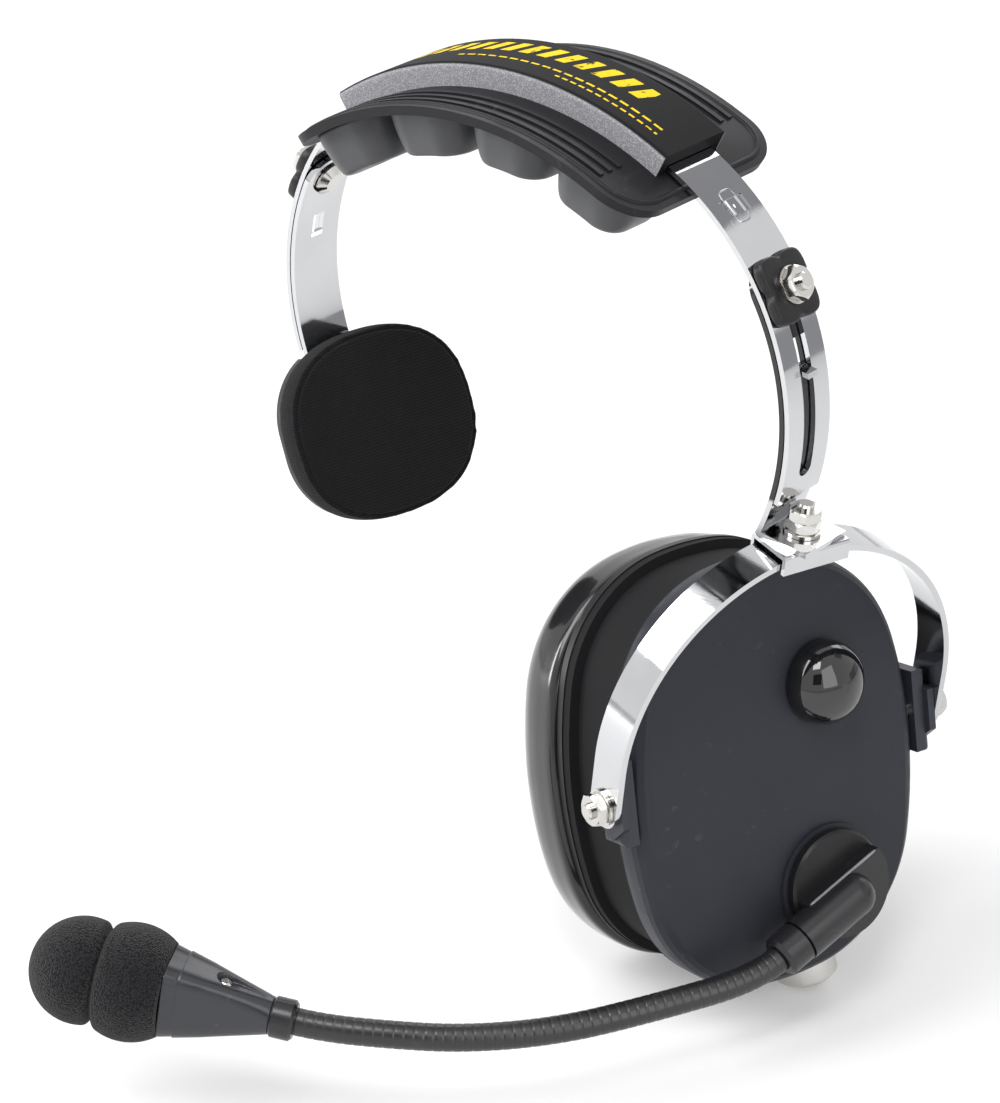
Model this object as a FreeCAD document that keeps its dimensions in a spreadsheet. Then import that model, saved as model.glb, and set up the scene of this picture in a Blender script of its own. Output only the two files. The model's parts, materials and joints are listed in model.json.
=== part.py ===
import FreeCAD, Part
import math
import os
import Sketcher

# Single-ear headset worn over the crown of the head.
# Frame in millimetres: +X towards the ear cup, -Y the way the wearer looks, +Z up.
# The origin is where the wearer's crown meets the underside of the head cushions.

Vector = FreeCAD.Vector
Rotation = FreeCAD.Rotation
Placement = FreeCAD.Placement

X_AXIS = Vector(1, 0, 0)
Y_AXIS = Vector(0, 1, 0)
Z_AXIS = Vector(0, 0, 1)

doc = FreeCAD.newDocument("Headset")
sheet = doc.addObject("Spreadsheet::Sheet", "Sizes")

# Driving sizes, each with its meaning
SIZES = [
    ("strip_width", 15.0, "width of the spring band and of both sliders"),
    ("strip_thick", 1.2, "thickness of the spring band and of both sliders"),
    ("crown_radius", 88.0, "mid-surface radius of the band over the crown"),
    ("crown_angle", 30.0, "half angle of the crown arc, from straight up"),
    ("crown_top", 14.7, "height of the band's mid-surface over the crown rest"),
    ("side_radius", 60.0, "mid-surface radius of the band at each side"),
    ("band_end_angle", 17.5, "how far below the side centre the band ends"),
    ("slider_gap", 0.3, "gap between the band and the slider inside it"),
    ("slot_width", 4.2, "width of the long slot in each side of the band"),
    ("slot_low_angle", -12.5, "lower end of the slot, above the side centre"),
    ("cup_bolt_angle", 29.0, "ear-side clamp bolt above the side centre, fully retracted"),
    ("temple_bolt_angle", 26.0, "temple-side clamp bolt above the side centre"),
    ("slider_lap_angle", 6.5, "slider end beyond its bolt"),
    ("dimple_angle", 48.5, "pressed mark on the band, above the side centre"),
    ("dimple_long", 8.0, "length of the pressed mark"),
    ("dimple_wide", 4.0, "width of the pressed mark"),
    ("dimple_deep", 0.35, "depth of the pressed mark"),
    ("screw_radius", 1.95, "shank radius of every clamp and pivot screw"),
    ("run_clear", 0.08, "radial running clearance round a pivot screw"),
    ("face_gap", 0.1, "gap between faces that slide on each other"),
    ("nut_flats", 7.0, "size across the flats of every clamp and pivot nut"),
    ("nut_high", 2.6, "height of every clamp and pivot nut"),
    ("washer_radius", 4.3, "outer radius of every plain washer"),
    ("washer_thick", 0.8, "thickness of every plain washer"),
    ("thread_end", 1.2, "screw end beyond its nut"),
    ("bolt_head_radius", 4.4, "radius of the round clamp bolt head"),
    ("bolt_head_high", 1.8, "height of the round clamp bolt head"),
    ("clamp_long", 15.3, "clamp plate along the band"),
    ("clamp_wide", 14.8, "clamp plate across the band"),
    ("clamp_high", 2.6, "top of the clamp plate over the band"),
    ("clamp_round", 2.0, "corner radius of the clamp plate"),
    ("clamp_side_gap", 0.25, "gap between the band's edge and the crown cover"),
    ("tab_lag", 17.0, "guide tab below its clamp bolt, round the side centre"),
    ("tab_wide", 3.6, "width of the guide tab"),
    ("tab_reach", 3.2, "how far the guide tab stands out of the slider"),
    ("tab_window", 6.0, "length of the window that the tab was bent out of"),
    ("cup_tail_angle", 24.0, "where the ear-side slider leaves its arc"),
    ("foot_inner", 6.5, "foot of the ear-side slider, swivel to bend"),
    ("foot_outer", 6.5, "foot of the ear-side slider, swivel to end"),
    ("tail_drop", 2.6, "straight tail of the ear-side slider"),
    ("swivel_out", 5.1576, "yoke crown outside the end of the slider's arc"),
    ("swivel_low", 6.0546, "yoke crown below the end of the slider's arc"),
    ("swivel_lean", 8.0, "lean of the swivel axis"),
    ("yoke_yaw", -16.4, "turn of the yoke about the swivel at rest"),
    ("yoke_radius", 45.8, "mid-surface radius of the yoke arch"),
    ("yoke_leg", 10.8, "straight leg of the yoke, arch to pivot"),
    ("yoke_wide", 9.8, "width of the yoke strip"),
    ("yoke_thick", 1.5, "thickness of the yoke strip"),
    ("bracket_long", 18.0, "bracket along the yoke"),
    ("bracket_thick", 1.0, "sheet thickness of the bracket"),
    ("bracket_drop", 4.6, "how far the bracket's sides fold down"),
    ("pan_head_radius", 3.9, "radius of the swivel screw's head"),
    ("pan_head_high", 2.4, "height of the swivel screw's head"),
    ("cup_tilt", 19.5, "tilt of the cup in the yoke at rest"),
    ("cup_half_wide", 40.0, "half width of the cup's outline, front to back"),
    ("cup_half_high", 50.8, "half height of the cup's outline"),
    ("cup_side_radius", 105.0, "radius of the outline's long sides"),
    ("cup_end_radius", 68.0, "radius of the outline's top and bottom"),
    ("cup_corner_radius", 34.0, "radius of the outline's corners"),
    ("cup_drop", 4.4, "middle of the cup below the pivot axis"),
    ("cup_face", 5.2, "middle of the cup's face outside the pivot axis"),
    ("cup_crown_radius", 620.0, "radius of the face's slight crown"),
    ("cup_shoulder", 5.0, "rounding between face and wall"),
    ("cup_depth", 32.0, "face to rim"),
    ("cup_wall", 2.2, "wall of the cup shell"),
    ("rim_draft", 0.9, "how far the cup's wall draws in at the rim"),
    ("lip_deep", 11.0, "face to the back of the cup's outer lip"),
    ("waist_deep", 3.0, "how far the wall behind the lip is drawn in"),
    ("rim_flange", 2.0, "thickness of the flange at the cup's rim"),
    ("baffle_thick", 2.0, "thickness of the plate that carries the speaker"),
    ("seal_half_wide", 41.0, "half width of the ear seal"),
    ("seal_half_high", 50.2, "half height of the ear seal"),
    ("seal_thick", 17.0, "thickness of the ear seal"),
    ("seal_low", 1.0, "how far the ear seal sits below the cup's middle"),
    ("ear_half_wide", 21.5, "half width of the seal's opening"),
    ("ear_half_high", 30.5, "half height of the seal's opening"),
    ("block_long", 20.0, "pivot block height"),
    ("block_wide", 8.5, "pivot block width, towards the face"),
    ("block_out", 3.5, "pivot block edge outside the pivot axis"),
    ("block_thick", 4.1, "pivot block thickness on the cup's wall"),
    ("boss_half", 5.0, "half width of the five-sided boss"),
    ("boss_tip", 8.6, "tip of the five-sided boss below the pivot"),
    ("knob_back", 12.5, "volume knob behind the pivot axis"),
    ("knob_up", 15.3, "volume knob above the pivot axis"),
    ("knob_radius", 9.9, "radius of the volume knob"),
    ("knob_high", 9.2, "height of the volume knob"),
    ("knob_gap", 0.5, "gap between the knob and the cup's face"),
    ("bush_radius", 3.5, "threaded bush of the volume control"),
    ("bush_out", 2.6, "bush beyond the cup's face"),
    ("shaft_radius", 3.0, "shaft of the volume control"),
    ("control_radius", 8.0, "body radius of the volume control"),
    ("control_high", 7.0, "body height of the volume control"),
    ("boom_back", 10.1, "boom pivot behind the cup's pivot axis"),
    ("boom_down", 32.9, "boom pivot below the cup's pivot axis"),
    ("boom_disc_radius", 12.8, "radius of the boom's turntable"),
    ("boom_disc_thick", 2.7, "thickness of the boom's turntable"),
    ("boom_seat_high", 0.6, "raised seat under the turntable, over the face"),
    ("boom_dip", 21.5, "boom arm below straight ahead"),
    ("boom_offset", 2.2, "boom arm's line below the turntable's centre"),
    ("hub_past", 3.4, "edge of the arm's hub past the turntable's centre"),
    ("boom_level", 12.5, "boom arm's line outside the pivot axis"),
    ("arm_radius", 5.3, "radius of the boom arm"),
    ("arm_length", 17.0, "boom arm from the turntable to its collar"),
    ("collar_radius", 5.0, "radius of the boom collar"),
    ("collar_length", 7.0, "length of the boom collar"),
    ("collar_screw_radius", 0.9, "shank radius of the collar's side screw"),
    ("stem_radius", 4.0, "radius of the boom's pivot stem"),
    ("neck_radius", 3.15, "crest radius of the gooseneck"),
    ("neck_root", 2.8, "root radius of the gooseneck"),
    ("neck_bore", 2.1, "bore radius of the gooseneck"),
    ("neck_pitch", 2.2, "pitch of the gooseneck's ribs"),
    ("neck_first", 7.5, "gooseneck's first straight run"),
    ("neck_seat", 3.0, "gooseneck's depth in each collar"),
    ("mic_collar_radius", 4.7, "radius of the microphone's collar"),
    ("mic_collar_long", 5.5, "length of the microphone's collar"),
    ("mic_long", 24.0, "length of the microphone housing"),
    ("mic_high", 19.5, "height of the housing at the muff"),
    ("mic_deep", 16.0, "depth of the housing at the muff"),
    ("mic_neck", 8.6, "size of the housing at its collar"),
    ("nose_radius", 5.2, "radius of the nose inside the muff"),
    ("nose_long", 14.0, "length of the nose inside the muff"),
    ("muff_near_radius", 13.4, "radius of the muff's nearer lobe"),
    ("muff_far_radius", 12.2, "radius of the muff's farther lobe"),
    ("muff_near", 36.8, "nearer lobe's centre from the gooseneck's end"),
    ("muff_far", 48.1, "farther lobe's centre from the gooseneck's end"),
    ("socket_turn", 8.7, "cord socket behind the cup's lowest point"),
    ("socket_in", 8.5, "cord socket inside the pivot axis"),
    ("socket_radius", 7.5, "flange radius of the cord socket"),
    ("socket_flange", 6.3, "how far the cord socket stands out"),
    ("socket_body", 5.6, "body radius of the cord socket"),
    ("socket_bore", 4.5, "bore radius of the cord socket"),
    ("socket_clear", 6.0, "open depth of the cord socket"),
    ("socket_step", 0.4, "how much narrower the cord socket is behind its open depth"),
    ("socket_deep", 16.8, "whole length of the cord socket"),
    ("speaker_radius", 20.0, "radius of the speaker's frame"),
    ("speaker_deep", 9.0, "depth of the speaker's frame"),
    ("magnet_radius", 11.0, "radius of the speaker's magnet"),
    ("magnet_deep", 5.0, "depth of the speaker's magnet"),
    ("pad_shift", 2.8, "head pad turned towards the temple side on the band"),
    ("pad_gap", 0.6, "gap between the band and the head pad's base"),
    ("base_half_arc", 36.2, "half angle of the head pad's base"),
    ("base_wide", 54.0, "width of the head pad's base"),
    ("base_thick", 2.2, "thickness of the head pad's base"),
    ("base_corner", 11.0, "corner radius of the head pad's base"),
    ("rib_high", 0.5, "height of the ribs on the head pad's base"),
    ("soft_gap", 0.05, "gap between a soft piece and the plate it is stuck to"),
    ("lump_high", 11.2, "height of each head cushion"),
    ("lump_pitch", 25.2, "head cushions apart along the band"),
    ("lump_row", 12.6, "head cushion row from the middle of the band"),
    ("lump_long", 23.4, "length of each head cushion at its base"),
    ("lump_wide", 22.0, "width of each head cushion at its base"),
    ("cover_long", 97.0, "length of the crown cover"),
    ("cover_wide", 21.5, "width of the crown cover"),
    ("cover_high", 5.5, "height of the crown cover"),
    ("cover_edge", 1.2, "rounding of the crown cover's long edges"),
    ("temple_tail_angle", 22.0, "where the temple-side slider leaves its arc"),
    ("temple_tail", 26.0, "straight tail of the temple-side slider"),
    ("temple_twist", 15.0, "twist of the tail that faces the temple pad forward"),
    ("twist_long", 8.0, "length of the twisted stretch"),
    ("temple_back", 3.15, "temple pad's centre behind the tail's middle"),
    ("temple_roll", 3.9, "turn of the temple pad in its own plane"),
    ("temple_drop", 17.7, "temple pad's centre down the tail"),
    ("temple_plate", 2.0, "thickness of the temple pad's plate"),
    ("temple_thick", 10.0, "thickness of the temple cushion"),
    ("temple_wide", 50.7, "width of the temple pad, front to back"),
    ("temple_high", 46.6, "height of the temple pad"),
]

for row, (alias, value, meaning) in enumerate(SIZES, start=1):
    sheet.set("A%d" % row, meaning)
    sheet.set("B%d" % row, "%.10g" % value)
    sheet.setAlias("B%d" % row, alias)
doc.recompute()


class Size:
    """A length, angle or ratio with the formula that gives it from the sheet."""

    def __init__(self, value, text):
        self.value = value
        self.text = text

    def __add__(self, other):
        other = as_size(other)
        return Size(self.value + other.value, "(%s + %s)" % (self.text, other.text))

    def __sub__(self, other):
        other = as_size(other)
        return Size(self.value - other.value, "(%s - %s)" % (self.text, other.text))

    def __mul__(self, other):
        other = as_size(other)
        return Size(self.value * other.value, "(%s * %s)" % (self.text, other.text))

    def __truediv__(self, other):
        other = as_size(other)
        return Size(self.value / other.value, "(%s / %s)" % (self.text, other.text))

    def __rtruediv__(self, other):
        return as_size(other) / self

    def __radd__(self, other):
        return as_size(other) + self

    def __rsub__(self, other):
        return as_size(other) - self

    def __rmul__(self, other):
        return as_size(other) * self

    def __neg__(self):
        return Size(-self.value, "(0 - %s)" % self.text)


def as_size(number):
    if isinstance(number, Size):
        return number
    return Size(float(number), "(%.10g)" % number if number < 0 else "%.10g" % number)


def sine(angle):
    angle = as_size(angle)
    return Size(math.sin(math.radians(angle.value)), "sin(%s)" % angle.text)


def cosine(angle):
    angle = as_size(angle)
    return Size(math.cos(math.radians(angle.value)), "cos(%s)" % angle.text)


def read(alias):
    return Size(float(sheet.get(alias)), "Sizes.%s" % alias)


class Sizes:
    """Every alias of the sheet as an attribute."""


d = Sizes()
for alias, value, meaning in SIZES:
    setattr(d, alias, read(alias))


def bind(thing, name, size):
    """Give a property its value, and the formula where it comes from the sheet."""
    size = as_size(size)
    setattr(thing, name, size.value)
    if "Sizes." in size.text:
        thing.setExpression(name, size.text)


# Frames

def frame(origin, x_dir, z_dir):
    """Placement with local X and Z along the two directions."""
    z_dir = Vector(z_dir).normalize()
    y_dir = z_dir.cross(Vector(x_dir)).normalize()
    x_dir = y_dir.cross(z_dir)
    matrix = FreeCAD.Matrix(x_dir.x, y_dir.x, z_dir.x, origin.x,
                            x_dir.y, y_dir.y, z_dir.y, origin.y,
                            x_dir.z, y_dir.z, z_dir.z, origin.z,
                            0, 0, 0, 1)
    return Placement(matrix)


def shifted(x=0.0, y=0.0, z=0.0):
    return Placement(Vector(x, y, z), Rotation())


def turned_about(axis, angle):
    return Placement(Vector(), Rotation(axis, angle))


# A sketch on UPRIGHT lies in the XZ plane, one on SIDEWAYS in the YZ plane
UPRIGHT = turned_about(X_AXIS, 90)
SIDEWAYS = Placement(Vector(), Rotation(Vector(0, 1, 0), Vector(0, 0, 1), Vector(1, 0, 0), "XYZ"))
WORLD = Placement()


# Pieces made of sketches

grouped = []


def new_body(label, place=WORLD):
    body = doc.addObject("PartDesign::Body", "Body_" + label)
    body.Label = label
    body.Placement = place
    return body


def arc_between(start, end, radius):
    """Arc shorter than a half circle; a positive radius turns left."""
    chord = end - start
    half = chord.Length / 2
    height = math.sqrt(max(radius * radius - half * half, 0.0))
    side = 1 if radius > 0 else -1
    left = Vector(-chord.y, chord.x, 0).normalize()
    centre = (start + end) * 0.5 + left * (height * side)
    first = start if side > 0 else end
    last = end if side > 0 else start
    low = math.atan2(first.y - centre.y, first.x - centre.x)
    high = math.atan2(last.y - centre.y, last.x - centre.x)
    if high < low:
        high += 2 * math.pi
    circle = Part.Circle(centre, Z_AXIS, abs(radius))
    return Part.ArcOfCircle(circle, low, high)


def pin_point(sketch, edge, corner, x, y):
    for kind, size in (("DistanceX", as_size(x)), ("DistanceY", as_size(y))):
        number = sketch.addConstraint(
            Sketcher.Constraint(kind, -1, 1, edge, corner, size.value))
        if "Sizes." in size.text:
            sketch.setExpression("Constraints[%d]" % number, size.text)


def add_outline(sketch, points):
    """Closed outline; a third value is the radius of the arc that reaches the point."""
    first_edge = len(sketch.Geometry)
    count = len(points)
    starts = []
    for i in range(count):
        here = points[i]
        following = points[(i + 1) % count]
        start = Vector(as_size(here[0]).value, as_size(here[1]).value, 0)
        end = Vector(as_size(following[0]).value, as_size(following[1]).value, 0)
        if len(following) == 3:
            radius = as_size(following[2])
            edge = sketch.addGeometry(arc_between(start, end, radius.value), False)
            size = radius if radius.value > 0 else -radius
            number = sketch.addConstraint(Sketcher.Constraint("Radius", edge, size.value))
            if "Sizes." in size.text:
                sketch.setExpression("Constraints[%d]" % number, size.text)
            starts.append((edge, 1 if radius.value > 0 else 2))
        else:
            edge = sketch.addGeometry(Part.LineSegment(start, end), False)
            starts.append((edge, 1))
    for i in range(count):
        edge, corner = starts[i]
        before, before_corner = starts[i - 1]
        sketch.addConstraint(Sketcher.Constraint(
            "Coincident", before, 3 - before_corner, edge, corner))
        pin_point(sketch, first_edge + i, corner, points[i][0], points[i][1])


def add_circle(sketch, x, y, radius):
    x, y, radius = as_size(x), as_size(y), as_size(radius)
    circle = Part.Circle(Vector(x.value, y.value, 0), Z_AXIS, radius.value)
    edge = sketch.addGeometry(circle, False)
    number = sketch.addConstraint(Sketcher.Constraint("Radius", edge, radius.value))
    if "Sizes." in radius.text:
        sketch.setExpression("Constraints[%d]" % number, radius.text)
    pin_point(sketch, edge, 3, x, y)


def draw(body, place=WORLD, outlines=(), circles=()):
    """Sketch on the body's XY plane, moved to a place."""
    sketch = body.newObject("Sketcher::SketchObject", "Sketch_" + body.Label)
    plane = [f for f in body.Origin.OriginFeatures if f.Role == "XY_Plane"][0]
    sketch.AttachmentSupport = [(plane, "")]
    sketch.MapMode = "FlatFace"
    sketch.AttachmentOffset = place
    for points in outlines:
        add_outline(sketch, points)
    for x, y, radius in circles:
        add_circle(sketch, x, y, radius)
    return sketch


def pad(body, sketch, length, both_ways=False):
    feature = body.newObject("PartDesign::Pad", "Pad_" + body.Label)
    feature.Profile = sketch
    bind(feature, "Length", length)
    feature.Midplane = both_ways
    body.Tip = feature
    return feature


def pocket(body, sketch, length, both_ways=False, reversed_way=False):
    feature = body.newObject("PartDesign::Pocket", "Pocket_" + body.Label)
    feature.Profile = sketch
    bind(feature, "Length", length)
    feature.Midplane = both_ways
    feature.Reversed = reversed_way
    body.Tip = feature
    return feature


def revolve(body, sketch, cut=False):
    kind = "PartDesign::Groove" if cut else "PartDesign::Revolution"
    feature = body.newObject(kind, "Turn_" + body.Label)
    feature.Profile = sketch
    feature.ReferenceAxis = (sketch, ["V_Axis"])
    feature.Angle = 360
    body.Tip = feature
    return feature


def soften(body, radius, chosen, bevel=False):
    """Fillet, or chamfer, on the edges that a test chooses."""
    doc.recompute()
    base = body.Tip
    names = []
    for number, edge in enumerate(base.Shape.Edges, start=1):
        if chosen(edge):
            names.append("Edge%d" % number)
    kind = "PartDesign::Chamfer" if bevel else "PartDesign::Fillet"
    feature = body.newObject(kind, "Soft_" + body.Label)
    feature.Base = (base, names)
    bind(feature, "Size" if bevel else "Radius", radius)
    body.Tip = feature
    return feature


def along(direction, tolerance=0.02):
    """Test for straight edges parallel to a direction."""
    direction = Vector(direction).normalize()

    def chosen(edge):
        if edge.Curve.TypeId != "Part::GeomLine":
            return False
        return edge.Curve.Direction.cross(direction).Length < tolerance
    return chosen


def turned(label, profile, place):
    """Piece turned about its own Z axis from (radius, height) points."""
    body = new_body(label, place)
    revolve(body, draw(body, UPRIGHT, [profile]))
    return body


def ring(label, inner, outer, low, high, place):
    return turned(label, [(inner, low), (outer, low), (outer, high), (inner, high)], place)


def hexagon(flats):
    corner = flats / math.sqrt(3)
    return [(corner * math.cos(math.radians(60 * i)), corner * math.sin(math.radians(60 * i)))
            for i in range(6)]


def hex_nut(label, bore, flats, low, high, place):
    """Nut along its own Z axis, with its corners turned off at both ends."""
    body = new_body(label, place)
    sketch = draw(body, shifted(), [hexagon(flats)], [(0, 0, bore)])
    sketch.setExpression("AttachmentOffset.Base.z", as_size(low).text)
    pad(body, sketch, high - low)
    corner = flats / math.sqrt(3)
    bevel = flats * 0.09
    for level, way in ((low, 1), (high, -1)):
        groove = [(corner + 1, level - way * 1), (corner + 1, level + way * bevel),
                  (corner + bevel * 0.2, level + way * bevel), (corner - bevel * 1.4, level - way * 0.2),
                  (corner - bevel * 1.4, level - way * 1)]
        revolve(body, draw(body, UPRIGHT, [groove]), cut=True)
    return body


def group(label, bodies):
    """Like fasteners in one node, each still a solid of its own."""
    compound = doc.addObject("Part::Compound", "Group_" + label)
    compound.Label = label
    compound.Links = bodies
    grouped.extend(bodies)
    return compound


def rectangle(x_low, y_low, x_high, y_high):
    return [(x_low, y_low), (x_high, y_low), (x_high, y_high), (x_low, y_high)]


def polar(radius, angle):
    return radius * cosine(angle), radius * sine(angle)


def sector(inner, outer, low_angle, high_angle):
    """Outline of a stretch of strip between two radii and two angles."""
    x0, y0 = polar(inner, low_angle)
    x1, y1 = polar(outer, low_angle)
    x2, y2 = polar(outer, high_angle)
    x3, y3 = polar(inner, high_angle)
    return [(x0, y0, -inner), (x1, y1), (x2, y2, outer), (x3, y3)]


# The band's arcs lie in the XZ plane
crown_drop = d.crown_radius - d.crown_top
side_offset = (d.crown_radius - d.side_radius) * sine(d.crown_angle)
side_drop = crown_drop - (d.crown_radius - d.side_radius) * cosine(d.crown_angle)
CUP_SIDE = shifted(side_offset.value, 0, -side_drop.value)
TEMPLE_SIDE = shifted(-side_offset.value, 0, -side_drop.value) * turned_about(Z_AXIS, 180)
CROWN = shifted(0, 0, -crown_drop.value)
CROWN_PAD = CROWN * turned_about(Y_AXIS, -d.pad_shift.value)
side_top_angle = 90 - d.crown_angle

half_strip = d.strip_thick / 2
band_in = d.side_radius - half_strip
band_out = d.side_radius + half_strip
slider_out = band_in - d.slider_gap
slider_in = slider_out - d.strip_thick
slider_mid = slider_out - half_strip
degrees_per_mm = 180 / math.pi / d.side_radius


def radial(side, angle):
    """Frame at a side arc's centre whose Z axis points outwards at an angle."""
    return side * turned_about(Y_AXIS, 90 - as_size(angle).value)


def headband():
    """Outer strip: crown arc, two side arcs, a slot in each side and two pressed marks."""
    body = new_body("headband_spring")
    steps = [(1, -d.band_end_angle, side_top_angle), (-1, side_top_angle, -d.band_end_angle)]
    points = []
    for skin, crown, way in ((half_strip, d.crown_radius + half_strip, 1),
                             (-half_strip, d.crown_radius - half_strip, -1)):
        radius = d.side_radius + skin
        outline = []
        for side, first, last in steps:
            x0, z0 = polar(radius, first)
            x1, z1 = polar(radius, last)
            outline.append((side, x0, z0))
            outline.append((side, x1, z1))
        corners = [((side_offset + x) * side, z - side_drop) for side, x, z in outline]
        if way < 0:
            corners = corners[::-1]
        radii = [None, radius * way, crown * way, radius * way]
        for corner, bend in zip(corners, radii):
            points.append(corner if bend is None else (corner[0], corner[1], bend))
    pad(body, draw(body, UPRIGHT, [points]), d.strip_width, both_ways=True)
    half_slot = d.slot_width / 2
    end_turn = half_slot * degrees_per_mm
    slot_high_angle = d.cup_bolt_angle + (half_slot + d.slider_gap) * degrees_per_mm
    for side in (CUP_SIDE, TEMPLE_SIDE):
        opening = sector(slider_out, band_out + 1, d.slot_low_angle + end_turn, slot_high_angle - end_turn)
        pocket(body, draw(body, side * UPRIGHT, [opening]), d.slot_width, both_ways=True)
        for angle in (d.slot_low_angle + end_turn, slot_high_angle - end_turn):
            place = radial(side, angle) * shifted(0, 0, slider_out.value)
            pocket(body, draw(body, place, circles=[(0, 0, half_slot)]), d.strip_thick * 4,
                   reversed_way=True)
        place = radial(side, d.dimple_angle) * shifted(0, 0, (band_out - d.dimple_deep).value)
        mark = rectangle(-d.dimple_wide / 2, -d.dimple_long / 2, d.dimple_wide / 2, d.dimple_long / 2)
        pocket(body, draw(body, place, [mark]), d.dimple_deep * 3, reversed_way=True)
    return body


def slider_arc(body, low_angle, bolt_angle):
    """Arc of a slider with its bolt hole, guide tab and the window beside the tab."""
    top = bolt_angle + d.slider_lap_angle
    tab_angle = bolt_angle - d.tab_lag
    pad(body, draw(body, UPRIGHT, [sector(slider_in, slider_out, -low_angle, top)]),
        d.strip_width, both_ways=True)
    end_height = polar(slider_mid, top)[1].value - 0.5
    soften(body, d.strip_width / 2 - 1, lambda edge: edge.CenterOfMass.z > end_height
           and edge.Length < d.strip_thick.value * 1.1)
    hole = draw(body, turned_about(Y_AXIS, 90 - bolt_angle.value) * shifted(0, 0, slider_in.value - 1),
                circles=[(0, 0, d.screw_radius)])
    pocket(body, hole, d.strip_thick * 3, reversed_way=True)
    half_window = d.tab_window / 2
    place = turned_about(Y_AXIS, 90 - tab_angle.value) * shifted(0, 0, slider_in.value - 1)
    window = rectangle(-d.tab_window - half_strip, -d.tab_wide / 2, -half_strip, d.tab_wide / 2)
    pocket(body, draw(body, place, [window]), d.strip_thick * 3, reversed_way=True)
    tab = [(-half_strip, slider_mid), (half_strip, slider_mid),
           (half_strip + half_window * 0.5, slider_out + d.tab_reach),
           (half_window * 0.5 - half_strip, slider_out + d.tab_reach)]
    pad(body, draw(body, turned_about(Y_AXIS, 90 - tab_angle.value) * UPRIGHT, [tab]),
        d.tab_wide, both_ways=True)


# The temple-side tail's frame: X outwards through the strip, Z up along it
TEMPLE_TAIL = (TEMPLE_SIDE * turned_about(Y_AXIS, d.temple_tail_angle.value)
               * shifted(slider_mid.value, 0, 0) * turned_about(Z_AXIS, -d.temple_twist.value))
rivet_above = 5.0
rivet_below = 4.0
rivet_places = (d.temple_drop - rivet_above, d.temple_drop + rivet_below)
rivet_radius = 1.5

# The swivel and the yoke
lean = d.swivel_lean.value
yoke_apex = d.yoke_radius + d.yoke_leg
yoke_in = yoke_apex - d.yoke_thick / 2
yoke_out = yoke_apex + d.yoke_thick / 2
bracket_low = yoke_out + d.slider_gap / 2
bracket_top = bracket_low + d.bracket_thick
foot_low = bracket_top + d.face_gap
foot_top = foot_low + d.strip_thick
slider_end = CUP_SIDE * turned_about(Y_AXIS, d.cup_tail_angle.value) * Vector(slider_mid.value, 0, 0)
yoke_crown = slider_end + Vector(d.swivel_out.value, 0, -d.swivel_low.value)
SWIVEL = Placement(yoke_crown, Rotation(Y_AXIS, lean)) * shifted(0, 0, -yoke_apex.value)
YOKE = SWIVEL * turned_about(Z_AXIS, d.yoke_yaw.value)
CUP = YOKE * turned_about(Y_AXIS, -d.cup_tilt.value)
CUP_MIDDLE = CUP * shifted(0, 0, -d.cup_drop.value)


def cup_slider():
    """Ear-side slider: arc, short tail and a foot bent out to the swivel."""
    body = new_body("cup_slider", CUP_SIDE)
    slider_arc(body, d.cup_tail_angle, d.cup_bolt_angle)
    tail_place = turned_about(Y_AXIS, d.cup_tail_angle.value) * UPRIGHT
    tail = rectangle(slider_in, -d.tail_drop - half_strip, slider_out, 0.2)
    pad(body, draw(body, tail_place, [tail]), d.strip_width, both_ways=True)
    foot_place = CUP_SIDE.inverse() * SWIVEL
    foot = rectangle(-d.foot_inner - half_strip, foot_low, d.foot_outer, foot_top)
    pad(body, draw(body, foot_place * UPRIGHT, [foot]), d.strip_width, both_ways=True)
    hole = draw(body, foot_place * shifted(0, 0, foot_low.value - 1),
                circles=[(0, 0, d.screw_radius + d.run_clear)])
    pocket(body, hole, d.strip_thick * 3, reversed_way=True)
    return body


def temple_slider():
    """Temple-side slider: arc and a straight tail that carries the temple pad."""
    body = new_body("temple_slider", TEMPLE_SIDE)
    slider_arc(body, d.temple_tail_angle, d.temple_bolt_angle)
    end = rectangle(-half_strip, -d.strip_width / 2, half_strip, d.strip_width / 2)
    start = turned_about(Y_AXIS, d.temple_tail_angle.value) * shifted(slider_mid.value, 0, 0)
    twist = body.newObject("PartDesign::AdditiveLoft", "Loft_" + body.Label)
    twist.Profile = draw(body, start, [end])
    tail_place = TEMPLE_SIDE.inverse() * TEMPLE_TAIL
    twist.Sections = [draw(body, tail_place * shifted(0, 0, -d.twist_long.value), [end])]
    twist.Ruled = True
    body.Tip = twist
    tail = rectangle(-half_strip, -d.temple_tail, half_strip, -d.twist_long)
    pad(body, draw(body, tail_place * UPRIGHT, [tail]), d.strip_width, both_ways=True)
    level = tail_place * turned_about(Y_AXIS, 90) * shifted(0, 0, -d.strip_thick.value)
    rivets = [(drop, 0, rivet_radius) for drop in rivet_places]
    pocket(body, draw(body, level, circles=rivets), d.strip_thick * 3, reversed_way=True)
    return body


def seat_sag(radius, curve):
    """How far a round flat face drops into a hollow of a larger radius."""
    return radius * radius / (curve * 2) + d.soft_gap


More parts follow.
